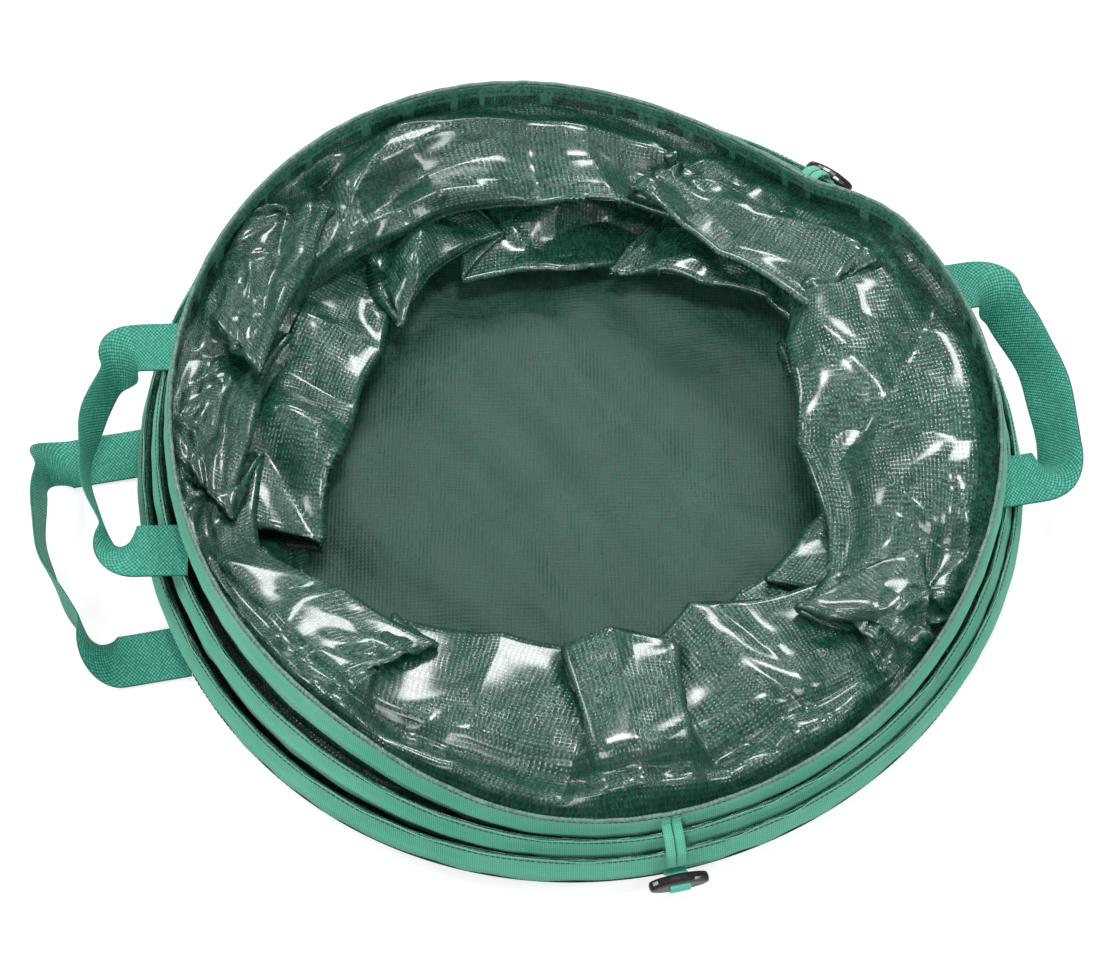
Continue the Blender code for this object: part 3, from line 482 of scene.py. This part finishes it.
def lay_course(flaps, low, high, hang, swell, seed):
    """One course as rows of points from its lower seam in to the edge and out again."""
    line = inner_edge(flaps)
    wound = np.concatenate([line[-EDGE_WINDOW:, 0] - 360, line[:, 0],
                            line[:EDGE_WINDOW, 0] + 360])
    count = 2 * EDGE_WINDOW + 1
    bearings = np.convolve(wound, np.full(count, 1 / count), "valid")
    low_seam = round_points(bearings, *on_turn(low[0], bearings, SEAM_INSIDE, low[1]))
    high_seam = round_points(bearings, *on_turn(high[0], bearings, SEAM_INSIDE, high[1]))
    edge = round_points(*line.T)
    shifts = range(-EDGE_WINDOW, EDGE_WINDOW + 1, 4)
    smooth = sum(np.roll(line[:, 2], k) for k in shifts) / len(shifts)
    pleat = (line[:, 2] - smooth)[:, None] * UPWARD
    inward = np.linspace(0, 1, 35)
    under = edge - 2 * EDGE_RADIUS * UPWARD
    hung = under - UPWARD * (hang * near(bearings, 185, 50))[:, None]
    rows, v = [], []
    for a in inward:
        rows.append(low_seam + (hung - low_seam) * a)
        v.append(0.12 * a)
    for a in (0.3, 0.65, 1.0):
        rows.append(hung + (under - hung) * a)
        v.append(0.12 + 0.008 * a)
    rows.append(round_points(line[:, 0], line[:, 1] - 1.2 * EDGE_RADIUS,
                             line[:, 2] - EDGE_RADIUS))
    v.append(HALF_COURSE)
    for a in inward[::-1]:
        held = min(1.0, a / 0.3) ** 0.7 - a
        rise = swell(bearings, a)[:, None] * UPWARD
        rows.append(high_seam + (edge - high_seam) * a + pleat * held + rise)
        v.append(COURSE_LENGTH - 0.128 * a)
    rows, v = np.array(rows), np.array(v)
    u = np.arange(len(line) + 1) / len(line) * CLOTH_ROUND
    across, along = np.meshgrid(u[:-1], v)
    seam = np.abs(along - HALF_COURSE) / HALF_COURSE
    crumple = (creases(across, along, seed, 90, 0.030, 0.50)
               + creases(across, along, seed + 1, 260, 0.011, 0.38))
    crumple = crumple * np.minimum(1, (1 - seam) * 8) * np.where(
        along < HALF_COURSE, 0.3, np.minimum(1, 0.4 + seam * 5))
    facing = np.cross(np.roll(rows, -1, axis=1) - np.roll(rows, 1, axis=1),
                      np.gradient(rows, axis=0))
    facing = facing / (np.linalg.norm(facing, axis=2, keepdims=True) + 1e-12)
    facing = facing * np.where(facing[..., 2:] < 0, -1, 1)
    return rows + facing * crumple[..., None], u, v, bearings


def upper_swell(bearings, a):
    """The crest that the cloth rises to, and the roll along the front of the rim."""
    front = near(bearings, 268, 62)
    crest = (0.008 + 0.006 * front - 0.007 * near(bearings, 175, 45)
             - 0.005 * near(bearings, 60, 40))
    roll = front * (0.008 * math.exp(-((a - 0.13) / 0.06) ** 2)
                    - 0.008 * math.exp(-((a - 0.27) / 0.05) ** 2))
    return crest * math.sin(math.pi * a ** 0.8) + roll


def lower_swell(bearings, a):
    return 0.004 * math.sin(math.pi * a ** 0.8) + 0 * bearings


# Each course is then parted into sixteen pieces by bearing, since the cloth flattens
# outward against the wall along each bearing as the bag opens.
SECTORS = 16
# How far out the flattened cloth may reach, just inside the facings
FLAT_RADIUS = 0.260


def read_all(items, field, wide, kind=float):
    """One field of all of a mesh's parts, as rows of the given width."""
    values = np.zeros(len(items) * wide, kind)
    items.foreach_get(field, values)
    return values.reshape(-1, wide)


laid = [lay_course(lower_flaps, ("bottom", -0.008), ("middle", -0.004), 0.010, lower_swell, 9),
        lay_course(upper_flaps, ("middle", 0.002), ("top", -0.005), 0.034, upper_swell, 5)]
quad_threads, inner_places, pressed_to = [], [], {}
for course, (body, joint) in enumerate((("middle_turn", "lower_turn_rise"),
                                        ("rim", "upper_turn_rise"))):
    grid, u, v, bearings = laid[course]
    wall = cloth_piece("wall", grid, u, v + course * COURSE_LENGTH, wall_cloth)
    mesh = wall.data
    places = read_all(mesh.vertices, "co", 3)
    directions = read_all(mesh.vertex_normals, "vector", 3)
    quads = read_all(mesh.loops, "vertex_index", 1, int).reshape(-1, 4)
    threads = read_all(mesh.uv_layers["cloth"].data, "uv", 2).reshape(-1, 4, 2)
    middles = threads.mean(axis=1)
    middles[:, 0] = np.tile(bearings % 360, len(v) - 1) / 360 * CLOTH_ROUND
    quad_threads.append(middles)
    inner_places.append(places[quads].mean(axis=1) + 0.0004 * directions[quads].mean(axis=1))
    for sector in range(SECTORS):
        chosen = np.where((middles[:, 0] / CLOTH_ROUND * SECTORS).astype(int) == sector)[0]
        used, faces = np.unique(quads[chosen], return_inverse=True)
        name = ("lower", "upper")[course] + "_wall_fold_" + str(sector + 1)
        mesh = bpy.data.meshes.new(name)
        mesh.from_pydata(places[used].tolist(), [], faces.reshape(-1, 4).tolist())
        layer = mesh.uv_layers.new(name="cloth")
        layer.data.foreach_set("uv", threads[chosen].ravel())
        mesh.materials.append(wall_cloth)
        mesh.shade_smooth()
        mesh.normals_split_custom_set_from_vertices(directions[used].tolist())
        flap = add_object(name, mesh)
        outward = outward_at((sector + 0.5) * 360 / SECTORS)
        wide = np.abs(places[used] @ [-outward.y, outward.x, 0.0]).max()
        pressed_to[course, sector] = math.sqrt(FLAT_RADIUS ** 2 - wide ** 2)
        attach(flap, body)
        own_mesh(flap)
    bpy.data.objects.remove(wall)
quad_threads, inner_places = np.concatenate(quad_threads), np.concatenate(inner_places)

# Between two sleeves the wall cloth shows twice. A tuck of it puffs out of the gap
# above the lower sleeve, and the stretch behind draws out to the full wall.
gap_bearings = np.arange(360) * 1.0
gap_u = np.arange(361) / 360 * CLOTH_ROUND
courses = [("lower", "bottom", "middle", "base", "middle_turn", (0.0098, 0.0137)),
           ("upper", "middle", "top", "middle_turn", "rim", (0.0225, 0.0245))]
for place, below, above, low_body, high_body, window in courses:
    low_r, low_z = on_turn(below, gap_bearings, -0.0014, HALF_BAND - 0.0015)
    edge_r = on_turn(above, gap_bearings, 0.0048, 0.0)[0]
    puffed = 0.5 + 0.5 * ripple(gap_bearings, 41, range(7, 36, 3))
    rows = []
    for s in np.linspace(0, 1, 15):
        a = s * math.pi * 0.8
        radius = low_r - (low_r - edge_r + 0.0006) * (1 - math.cos(a)) / 1.809
        height = low_z + (0.0012 + 0.0026 * puffed) * math.sin(a) - 0.016 * s ** 2.2
        height = height + 0.0005 * ripple(gap_bearings + 60 * s, 47, range(30, 110, 7))
        rows.append(round_points(gap_bearings, radius, height))
    tuck = cloth_piece(place + "_wall_tuck", np.array(rows), gap_u,
                       np.linspace(0, 0.026, 15), wall_cloth)
    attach(tuck, low_body)

    start, end = window
    foot_r, foot_z = on_turn(below, gap_bearings, -0.0022, -0.012)
    head_r, head_z = on_turn(above, gap_bearings, -0.0013, 0.004)
    under_r, under_z = on_turn(above, gap_bearings, -0.0013, -HALF_BAND - 0.0002)
    levels = np.concatenate([[0.0], np.linspace(0.12, 0.88, 40), [1.0]])
    rows = [round_points(gap_bearings, foot_r, np.minimum(foot_z, start - 0.0004))]
    for s in levels:
        ease = s * s * (3 - 2 * s)
        rows.append(round_points(gap_bearings, foot_r + (under_r - foot_r) * ease,
                                 start + (end - start) * s))
    rows.append(round_points(gap_bearings, under_r, np.maximum(under_z, end + 0.0002)))
    rows.append(round_points(gap_bearings, head_r, np.maximum(head_z, end + 0.0004)))
    drawn = np.concatenate([[0.0], 0.01 + 0.205 * levels, [0.22, 0.235]])
    stretch = cloth_piece(place + "_wall_stretch", np.array(rows), gap_u, drawn, wall_cloth)
    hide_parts("wall_" + place)
    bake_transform(stretch)

# The facings: the same cloth in its dull state, closing each sleeve on the inside, and
# coloured lighter than the wall as painted light, standing in for the lamp light that
# hardly reaches them. The rim's own shows inside the mouth, puckered by its line of
# black lockstitch.
facing_cloth_painted_light = laminate("laminated_facing_strip", "#2f6455", "#5b9c87", 0.33, 0.35)
facing_ups = np.linspace(-HALF_BAND, HALF_BAND, 13)
for seed, (name, body) in enumerate(bands.items()):
    rows = []
    for up in facing_ups:
        pucker = 0.0011 * (1 - (up / HALF_BAND) ** 2) * ripple(
            gap_bearings, 61 + seed, range(40, 170, 9))
        rows.append(round_points(gap_bearings, *on_turn(name, gap_bearings,
                                                        -0.0004 + pucker, up)))
    strip = cloth_piece(name + "_inner_strip", np.array(rows), gap_u, facing_ups,
                        facing_cloth_painted_light, thickness=0.0005)
    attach(strip, body)
    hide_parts(name + "_facing")

# The rim's rolled edge: wall cloth turned over the top of the sleeve and sewn down, a
# thin roll coloured a paler grey green than the wall as a painted highlight, kinked
# wherever the cloth was eased in.
hem_cloth_painted_highlight = laminate("rolled_laminated_edge", "#3b5f55", "#7f9a90", 0.42, 0.3)
turned = np.linspace(0, 2 * math.pi, 11)[:-1]
rows = []
kink = ripple(band_bearings, 71, range(20, 90, 6))
for a in list(turned) + [0.0]:
    out = 0.0003 + 0.0014 * math.cos(a) + 0.0004 * kink
    up = HALF_BAND + 0.0014 + (0.0012 + 0.0003 * kink) * math.sin(a)
    rows.append(round_points(band_bearings, *on_turn("top", band_bearings, out, up)))
hem = cloth_piece("rolled_rim", np.array(rows)[::-1], band_u, np.linspace(0, 0.009, 11),
                  hem_cloth_painted_highlight)
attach(hem, "rim")
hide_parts("rim_hem")

# The floor: one disc of coated woven polypropylene, duller than the wall, which lies
# slack on the ground in low diagonal folds, with a binding over its seam.
floor_cloth = laminate("coated_woven_polypropylene", "#12362c", "#1f5143", 0.6, 0.25)
floor_edge_r = on_turn("bottom", gap_bearings, 0.0, -HALF_BAND)[0]
FLOOR_RINGS = 61
floor_x, floor_y = np.cos(np.radians(gap_bearings)), np.sin(np.radians(gap_bearings))
rows = []
for s in np.linspace(0.0004, 1, FLOOR_RINGS):
    x, y = floor_edge_r * s * floor_x, floor_edge_r * s * floor_y
    slack = np.sin(math.pi * min(1.0, s * 1.02)) if s > 0.5 else 1.0
    height = (0.0030 * np.sin((x * 0.8 + y * 0.6) * 34 + 2 * np.sin(y * 9))
              + 0.0020 * np.sin((x * 0.5 - y * 0.9) * 47 + 1.3 * np.sin(x * 13) + 1)
              + 0.0012 * np.sin((x + y) * 90 + 2 * np.sin(x * 21)))
    rows.append(np.stack([x, y, 0.0012 + slack * (0.0052 + height)], axis=-1))
panel = cloth_piece("floor_cloth", np.array(rows), gap_u, np.linspace(0, 0.29, FLOOR_RINGS),
                    floor_cloth)
corner = read_all(panel.data.loops, "vertex_index", 1, int).ravel()
spots = np.array([v.co[:2] for v in panel.data.vertices])[corner]
panel.data.uv_layers["cloth"].data.foreach_set("uv", spots.astype(np.float32).ravel())
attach(panel, "base")
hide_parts("floor_panel")

binding_profile = [(-0.0115, 0.0022), (-0.008, 0.0032), (-0.004, 0.0034), (-0.0008, 0.0030)]
rows = [round_points(gap_bearings, floor_edge_r + out,
                     high + 0.0003 * ripple(gap_bearings, 83, range(20, 80, 7)))
        for out, high in binding_profile]
# The binding takes the facings' cloth, with its lighter colour that is painted light.
binding = cloth_piece("floor_binding", np.array(rows)[::-1], gap_u,
                      np.linspace(0, 0.012, 4), facing_cloth_painted_light, thickness=0.0005)
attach(binding, "base")
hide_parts("floor_seam_binding")

# The spring: 3 mm drawn steel wire. Its turns stay in their sleeves, and the two climbs
# between them stretch as the bag opens. Black caps close its two ends.


def dress(mesh, finish):
    """Gives a mesh one finish in place of those that it has."""
    mesh.materials.clear()
    mesh.materials.append(finish)


steel, tree, shader = new_material("drawn_spring_steel")
# Drawing leaves fine lines along the wire, and a thin film of oil dulls it unevenly
place = add_node(tree, "ShaderNodeTexCoord")
drawn = add_node(tree, "ShaderNodeTexNoise", {"Vector": place.outputs["Object"],
                                              "Scale": 900.0, "Detail": 3.0})
dull = add_node(tree, "ShaderNodeMapRange", {"Value": drawn.outputs["Fac"],
                                             "To Min": 0.25, "To Max": 0.5})
fill(tree, shader, {"Base Color": linear("#a5a5a8"), "Metallic": 1.0,
                    "Roughness": dull.outputs["Result"]})
plastic, tree, shader = new_material("moulded_black_nylon")
# Moulded nylon is glossy with a faint orange peel, brownish black under a bright lamp
place = add_node(tree, "ShaderNodeTexCoord")
peel = add_node(tree, "ShaderNodeTexNoise", {"Vector": place.outputs["Object"],
                                             "Scale": 450.0, "Detail": 2.0})
even = add_node(tree, "ShaderNodeMapRange", {"Value": peel.outputs["Fac"],
                                             "To Min": 0.14, "To Max": 0.26})
waved = add_node(tree, "ShaderNodeBump", {"Height": peel.outputs["Fac"], "Strength": 0.12,
                                          "Distance": 0.0003})
fill(tree, shader, {"Base Color": linear("#1e191b"), "Roughness": even.outputs["Result"],
                    "Normal": waved.outputs[0]})
for name, node in frame["nodes"].items():
    if name.startswith("spring_turn") or name.startswith("spring_end_cap"):
        dress(node.data, plastic if "cap" in name else steel)
for place, low_body, high_body in (("lower", "base", "middle_turn"),
                                   ("upper", "middle_turn", "rim")):
    climb_mesh = frame["nodes"]["spring_ramp_" + place].data.copy()
    climb_mesh.name = place + "_climb"
    dress(climb_mesh, steel)
    climb = add_object(place + "_climb", climb_mesh)
    low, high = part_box("spring_ramp_" + place)
    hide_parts("spring_ramp_" + place)
    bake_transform(climb)

# The handles: each one length of 38 mm coarse polypropylene webbing. Its flat ends are
# sewn under a sleeve, and it twists at the corners to stand on edge along the grip.
KNOB_PITCH = 0.0021
webbing, tree, shader = new_material("coarse_woven_webbing")
# Thick polypropylene yarns cross as rows of staggered knobs, and the hollows between
# them are painted dark, as painted shade
cloth = add_node(tree, "ShaderNodeUVMap", uv_map="cloth")
turned_45 = add_node(tree, "ShaderNodeMapping", {"Vector": cloth.outputs[0],
                                                 "Rotation": (0, 0, math.radians(45)),
                                                 "Scale": (1.25, 1.0, 1.0)})
knob = add_node(tree, "ShaderNodeTexVoronoi", {"Vector": turned_45.outputs[0],
                                               "Scale": 1 / KNOB_PITCH,
                                               "Randomness": 0.12}, feature="F1")
round_top = add_node(tree, "ShaderNodeMapRange", {"Value": knob.outputs["Distance"],
                                                  "From Min": 0.15, "From Max": 0.62,
                                                  "To Min": 1.0, "To Max": 0.0})
chance = add_node(tree, "ShaderNodeTexWhiteNoise", {"Vector": knob.outputs["Position"]})
bright = mix(tree, chance.outputs["Value"], linear("#3b9f89"), linear("#5ab9a4"))
# The hollows are painted dark as shade, and the knob tops take tones that vary at random.
colour = mix(tree, round_top.outputs["Result"], linear("#185a4d"), bright)
raised = add_node(tree, "ShaderNodeBump", {"Height": round_top.outputs["Result"],
                                           "Strength": 0.8, "Distance": 0.0007})
fill(tree, shader, {"Base Color": colour, "Normal": raised.outputs[0], "Roughness": 0.6,
                    "Specular IOR Level": 0.35})

joints = {joint["name"]: joint for joint in frame["joints"]}
WEB_HALF, WEB_THICK, CORNER = 0.019, 0.0019, 0.020
web_section = [(-1.0, 0.0), (-0.97, 0.42), (-0.9, 0.5), (-0.5, 0.46), (0.0, 0.45),
               (0.5, 0.46), (0.9, 0.5), (0.97, 0.42), (1.0, 0.0), (0.97, -0.42),
               (0.9, -0.5), (0.5, -0.46), (0.0, -0.45), (-0.5, -0.46), (-0.9, -0.5),
               (-0.97, -0.42), (-1.0, 0.0)]


def run_lengths(points):
    """How far along a line of points each of them lies."""
    steps = np.linalg.norm(np.diff(points, axis=0), axis=1)
    return np.concatenate([[0], np.cumsum(steps)])


def headings(points):
    """The direction of a line at each of its points."""
    ahead = np.gradient(points, axis=0)
    return ahead / np.linalg.norm(ahead, axis=1)[:, None]


def soften(points):
    """Rounds the corners of a line of points, with its two ends held."""
    for _ in range(6):
        points[1:-1] = 0.25 * points[:-2] + 0.5 * points[1:-1] + 0.25 * points[2:]


def tape_along(name, centres, sides, normals, half, thick, section, finish):
    """A webbing or strap from its centre line and the way it faces at each point."""
    grid = np.array([centres + sides * (w * half) + normals * (t * thick)
                     for w, t in section])
    across = np.array([w * half + (0.0 if t >= 0 else 2 * half) for w, t in section])
    piece = cloth_piece(name, grid, run_lengths(centres), across, finish, around=False)
    mesh = piece.data
    long, wide = grid.shape[1], len(section) - 1
    last = wide * long
    ends = [[j * long + i for j in range(wide)] for i in (0, long - 1)]
    rebuilt = [tuple(f.vertices) for f in mesh.polygons] + [tuple(ends[0][::-1]),
                                                           tuple(ends[1])]
    corner_uv = np.concatenate([read_all(mesh.uv_layers["cloth"].data, "uv", 2).ravel(),
                                np.zeros(4 * wide)])
    rebuilt = [tuple(v - last if v >= last else v for v in f) for f in rebuilt]
    closed = bpy.data.meshes.new(name)
    closed.from_pydata(grid.reshape(-1, 3)[:last].tolist(), [], rebuilt)
    closed.uv_layers.new(name="cloth").data.foreach_set("uv", corner_uv.astype(np.float32))
    closed.materials.append(finish)
    closed.shade_smooth()
    piece.data = closed
    piece.name = name
    return piece


def along_bearing(bearing, x, y, z):
    a = math.radians(bearing)
    return np.stack([x * math.cos(a) - y * math.sin(a),
                     x * math.sin(a) + y * math.cos(a), z + 0 * x], axis=-1)


handles = [
    ("carry_handle_left", "left_carry_handle", "rim", 182, (0.012, 0.016), 0.016, 0.006,
     -0.011, 82, 0.022),
    ("carry_handle_right", "right_carry_handle", "rim", 10.5, (0.008, 0.013), 0.008, -0.007,
     -0.009, 52, 0.022),
    ("tipping_handle", "foot_handle", "base", 191, (0.028, 0.044), 0.012, 0.003, 0.0172, 86,
     0.016),
]
HANDLE_HALF_SPAN = 0.0785
for seed, (node, body, carrier, bearing, legs, bow, aside, shift, twist, tuck) in enumerate(
        handles):
    x0, y0, hinge_z = joints[node + "_swing"]["pos_m"]
    hinge_x = math.hypot(x0, y0)
    grip = HANDLE_HALF_SPAN - CORNER
    halves = []
    for leg in legs:
        half = [(hinge_x - tuck * (1 - s), HANDLE_HALF_SPAN, 0.0)
                for s in np.linspace(0, 1, 8)[:-1]]
        half += [(hinge_x + leg * s, HANDLE_HALF_SPAN, 0.0)
                 for s in np.linspace(0, 1, 14)[:-1]]
        for s in np.linspace(0, 1, 25):
            a = s * math.pi / 2
            half.append((hinge_x + leg + CORNER * math.sin(a),
                         HANDLE_HALF_SPAN - CORNER * (1 - math.cos(a)), s))
        halves.append(half)
    path = list(halves[0])
    for s in np.linspace(0, 1, 42)[1:-1]:
        leg = legs[0] + (legs[1] - legs[0]) * s
        path.append((hinge_x + leg + CORNER + bow * 4 * s * (1 - s), grip * (1 - 2 * s), 1.0))
    path += [(x, -y, s) for x, y, s in reversed(halves[1])]
    path = np.array(path)
    path[:, 1] += aside
    soften(path[:, :2])
    ahead = headings(path[:, :2])
    ease = path[:, 2] ** 2 * (3 - 2 * path[:, 2])
    run = np.linspace(0, 1, len(path))
    sway = 0.06 * np.sin(run * 17 + seed) * ease + 0.05 * np.sin(run * 41 + 2 * seed) * ease
    angle = np.radians(twist) * ease + sway
    rise = hinge_z + shift * np.sin(np.radians(twist) * ease) / math.sin(
        math.radians(twist)) + 0.0006 * np.sin(run * 29 + seed) * ease
    side = np.stack([ahead[:, 1] * np.cos(angle), -ahead[:, 0] * np.cos(angle),
                     -np.sin(angle)], axis=1)
    face = np.cross(np.column_stack([ahead, 0 * run]), side)
    centres = along_bearing(bearing, path[:, 0], path[:, 1], rise)
    a = math.radians(bearing)
    spin = np.array([[math.cos(a), -math.sin(a), 0], [math.sin(a), math.cos(a), 0],
                     [0, 0, 1]])
    strap = tape_along(node + "_webbing", centres, side @ spin.T, face @ spin.T, WEB_HALF,
                       WEB_THICK, web_section, webbing)
    outward = outward_at(bearing)
    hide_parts(node, node + "_tab_a", node + "_tab_b")
    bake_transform(strap)

# The closures: an Oxford strap, folded into two strands that end in a loop, comes down
# from the rim and goes round the neck of a toggle sewn to the bottom sleeve.
strand_section = [(math.cos(a), 0.5 * math.sin(a)) for a in np.linspace(0, 2 * math.pi, 13)]
closures = [("front", 282), ("back", 53)]
for place, bearing in closures:
    x0, y0, hinge_z = joints[place + "_loop_release"]["pos_m"]
    hinge_r = math.hypot(x0, y0)
    at = np.array([float(bearing)])
    points = [on_turn("top", at, 0.0022, 0.0163), on_turn("top", at, 0.0024, 0.0094)]
    points = [(float(r[0]), float(z[0])) for r, z in points]
    points.append((hinge_r, hinge_z))
    low_r, low_z = on_turn("bottom", at, 0.0011, HALF_BAND)
    points.append((float(low_r[0]) + 0.0020, float(low_z[0]) + 0.0020))
    end_r = float(on_turn("bottom", at, 0.0056, 0.0)[0][0])
    points.append((end_r, 0.0286))
    points = np.array(points)
    legs = run_lengths(points)
    where = np.linspace(0, legs[-1], 40)
    line = np.column_stack([np.interp(where, legs, points[:, 0]),
                            np.interp(where, legs, points[:, 1])])
    soften(line)
    a = math.radians(bearing)
    outward = outward_at(bearing)
    across = Vector((-math.sin(a), math.cos(a), 0.0))
    strands = []
    for sign in (-1, 1):
        shift = sign * 0.0033
        centres = along_bearing(bearing, line[:, 0], shift + 0 * where, line[:, 1])
        ahead = headings(centres)
        side = np.tile(np.array(across), (len(line), 1))
        face = np.cross(side, ahead)
        strands.append(tape_along(place + "_strand_" + str(sign + 2), centres, side, face,
                                  0.0031, 0.0021, strand_section, oxford))
    for index, strand in enumerate(strands):
        if index == 0:
            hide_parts("closure_anchor_" + place, "closure_loop_" + place)
        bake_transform(strand)
    dress(frame["nodes"]["toggle_" + place].data, plastic)
    for node in ("toggle_eye_", "toggle_tab_"):
        dress(frame["nodes"][node + place].data, webbing)

# The stitching: black bonded polyester lockstitch, run along both edges of each sleeve,
# round the mouth, down the wall's seam and in crossed boxes where the handles end.
thread, tree, shader = new_material("bonded_polyester_thread")
# Bonded thread is three twisted strands under a thin resin, so it shines a little
place = add_node(tree, "ShaderNodeTexCoord")
strands_seen = add_node(tree, "ShaderNodeTexNoise", {"Vector": place.outputs["Object"],
                                                     "Scale": 1400.0})
twisted = add_node(tree, "ShaderNodeBump", {"Height": strands_seen.outputs["Fac"],
                                            "Strength": 0.4, "Distance": 0.0002})
fill(tree, shader, {"Base Color": linear("#0f1514"), "Roughness": 0.5,
                    "Normal": twisted.outputs[0]})

lockstitch = bpy.data.node_groups.new("lockstitch_run", "GeometryNodeTree")
sockets = {}
for name, kind in (("Seam line", "Geometry"), ("Stitch spacing", "Float"),
                   ("Stitch length", "Float"), ("Thread width", "Float"),
                   ("Thread", "Material")):
    made = lockstitch.interface.new_socket(name=name, in_out="INPUT",
                                           socket_type="NodeSocket" + kind)
    sockets[name] = made.identifier
lockstitch.interface.new_socket(name="Stitches", in_out="OUTPUT",
                                socket_type="NodeSocketGeometry")
given = add_node(lockstitch, "NodeGroupInput")
line = add_node(lockstitch, "GeometryNodeMeshToCurve", {"Mesh": given.outputs["Seam line"]})
holes = add_node(lockstitch, "GeometryNodeCurveToPoints",
                 {"Curve": line.outputs[0], "Length": given.outputs["Stitch spacing"]},
                 mode="LENGTH")
bead = add_node(lockstitch, "GeometryNodeMeshUVSphere", {"Segments": 6, "Rings": 4,
                                                         "Radius": 0.5})
shape = add_node(lockstitch, "ShaderNodeCombineXYZ", {0: given.outputs["Thread width"],
                                                      1: given.outputs["Thread width"],
                                                      2: given.outputs["Stitch length"]})
laid = add_node(lockstitch, "GeometryNodeInstanceOnPoints",
                {"Points": holes.outputs["Points"], "Instance": bead.outputs["Mesh"],
                 "Rotation": holes.outputs["Rotation"], "Scale": shape.outputs[0]})
real = add_node(lockstitch, "GeometryNodeRealizeInstances", {0: laid.outputs[0]})
dyed = add_node(lockstitch, "GeometryNodeSetMaterial", {"Geometry": real.outputs[0],
                                                        "Material": given.outputs["Thread"]})
add_node(lockstitch, "NodeGroupOutput", {0: dyed.outputs[0]})


def sew(name, runs, spacing, length, width):
    """Sews lines of stitches along runs of points, as one plain mesh of thread."""
    spots, edges = [], []
    for run in runs:
        edges += [(len(spots) + i, len(spots) + i + 1) for i in range(len(run) - 1)]
        spots += [tuple(map(float, p)) for p in run]
    mesh = bpy.data.meshes.new(name)
    mesh.from_pydata(spots, edges, [])
    seam = add_object(name, mesh)
    run = seam.modifiers.new("lockstitch", "NODES")
    run.node_group = lockstitch
    run[sockets["Stitch spacing"]] = spacing
    run[sockets["Stitch length"]] = length
    run[sockets["Thread width"]] = width
    run[sockets["Thread"]] = thread
    plain_mesh(seam)
    seam.data.shade_smooth()
    return seam


for seed, (name, body) in enumerate(bands.items()):
    runs = []
    for share in (-0.93, 0.93):
        up = share * HALF_BAND
        sway = 0.0004 * ripple(band_bearings, 11 + seed, range(9, 40, 3))
        path = round_points(band_bearings, *on_turn(name, band_bearings, 0.0009, up + sway))
        runs.append(np.concatenate([path, path[:1]]))
    seam = sew(name + "_edge_stitches", runs, 0.0036, 0.0034, 0.0007)
    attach(seam, body)
path = round_points(gap_bearings, *on_turn("top", gap_bearings, -0.0012, 0.0095))
mouth = sew("mouth_stitches", [np.concatenate([path, path[:1]])], 0.0058, 0.0038, 0.0008)
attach(mouth, "rim")


def on_wall(u, v):
    """Points just off the wall cloth's inner side, found by its threads' own places."""
    found = []
    for at_u, at_v in zip(u, v):
        off = (quad_threads[:, 0] - at_u) ** 2 + (quad_threads[:, 1] - at_v) ** 2
        nearest = np.argsort(off)[:4]
        weight = 1 / (off[nearest] + 1e-7)
        found.append((inner_places[nearest] * weight[:, None]).sum(axis=0) / weight.sum())
    return np.array(found)


# The handles' ends are held through the wall by a box and a cross, and the wall's own
# seam runs down beside the right handle in two lines.
wall_top = 2 * COURSE_LENGTH
sewn_places = []
for bearing in (165.2, 198.8, 353.7, 27.3):
    u = bearing / 360 * CLOTH_ROUND
    left, right, low, high = u - 0.015, u + 0.015, wall_top - 0.038, wall_top - 0.008
    corners = [(left, low), (right, low), (right, high), (left, high), (left, low),
               (right, high), (left, high), (right, low)]
    sewn_places.append(("handle_box_stitches_" + str(round(bearing)), bearing, [corners]))
seam_u = 12 / 360 * CLOTH_ROUND
sewn_places.append(("wall_seam_stitches", 12, [
    [(seam_u + off, wall_top - 0.006), (seam_u + off, COURSE_LENGTH + 0.07)]
    for off in (-0.0035, 0.0035)]))
for name, bearing, lines in sewn_places:
    runs = []
    for corners in lines:
        steps = [np.linspace(a, b, 24)[:-1] for a, b in zip(corners[:-1], corners[1:])]
        run = np.concatenate(steps + [np.array(corners[-1:])])
        runs.append(on_wall(run[:, 0], run[:, 1]))
    seam = sew(name, runs, 0.0036, 0.0032, 0.0008)
    sector = math.floor(bearing * SECTORS / 360)
    outward = outward_at((sector + 0.5) * 360 / SECTORS)
    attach(seam, "rim")
    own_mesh(seam)
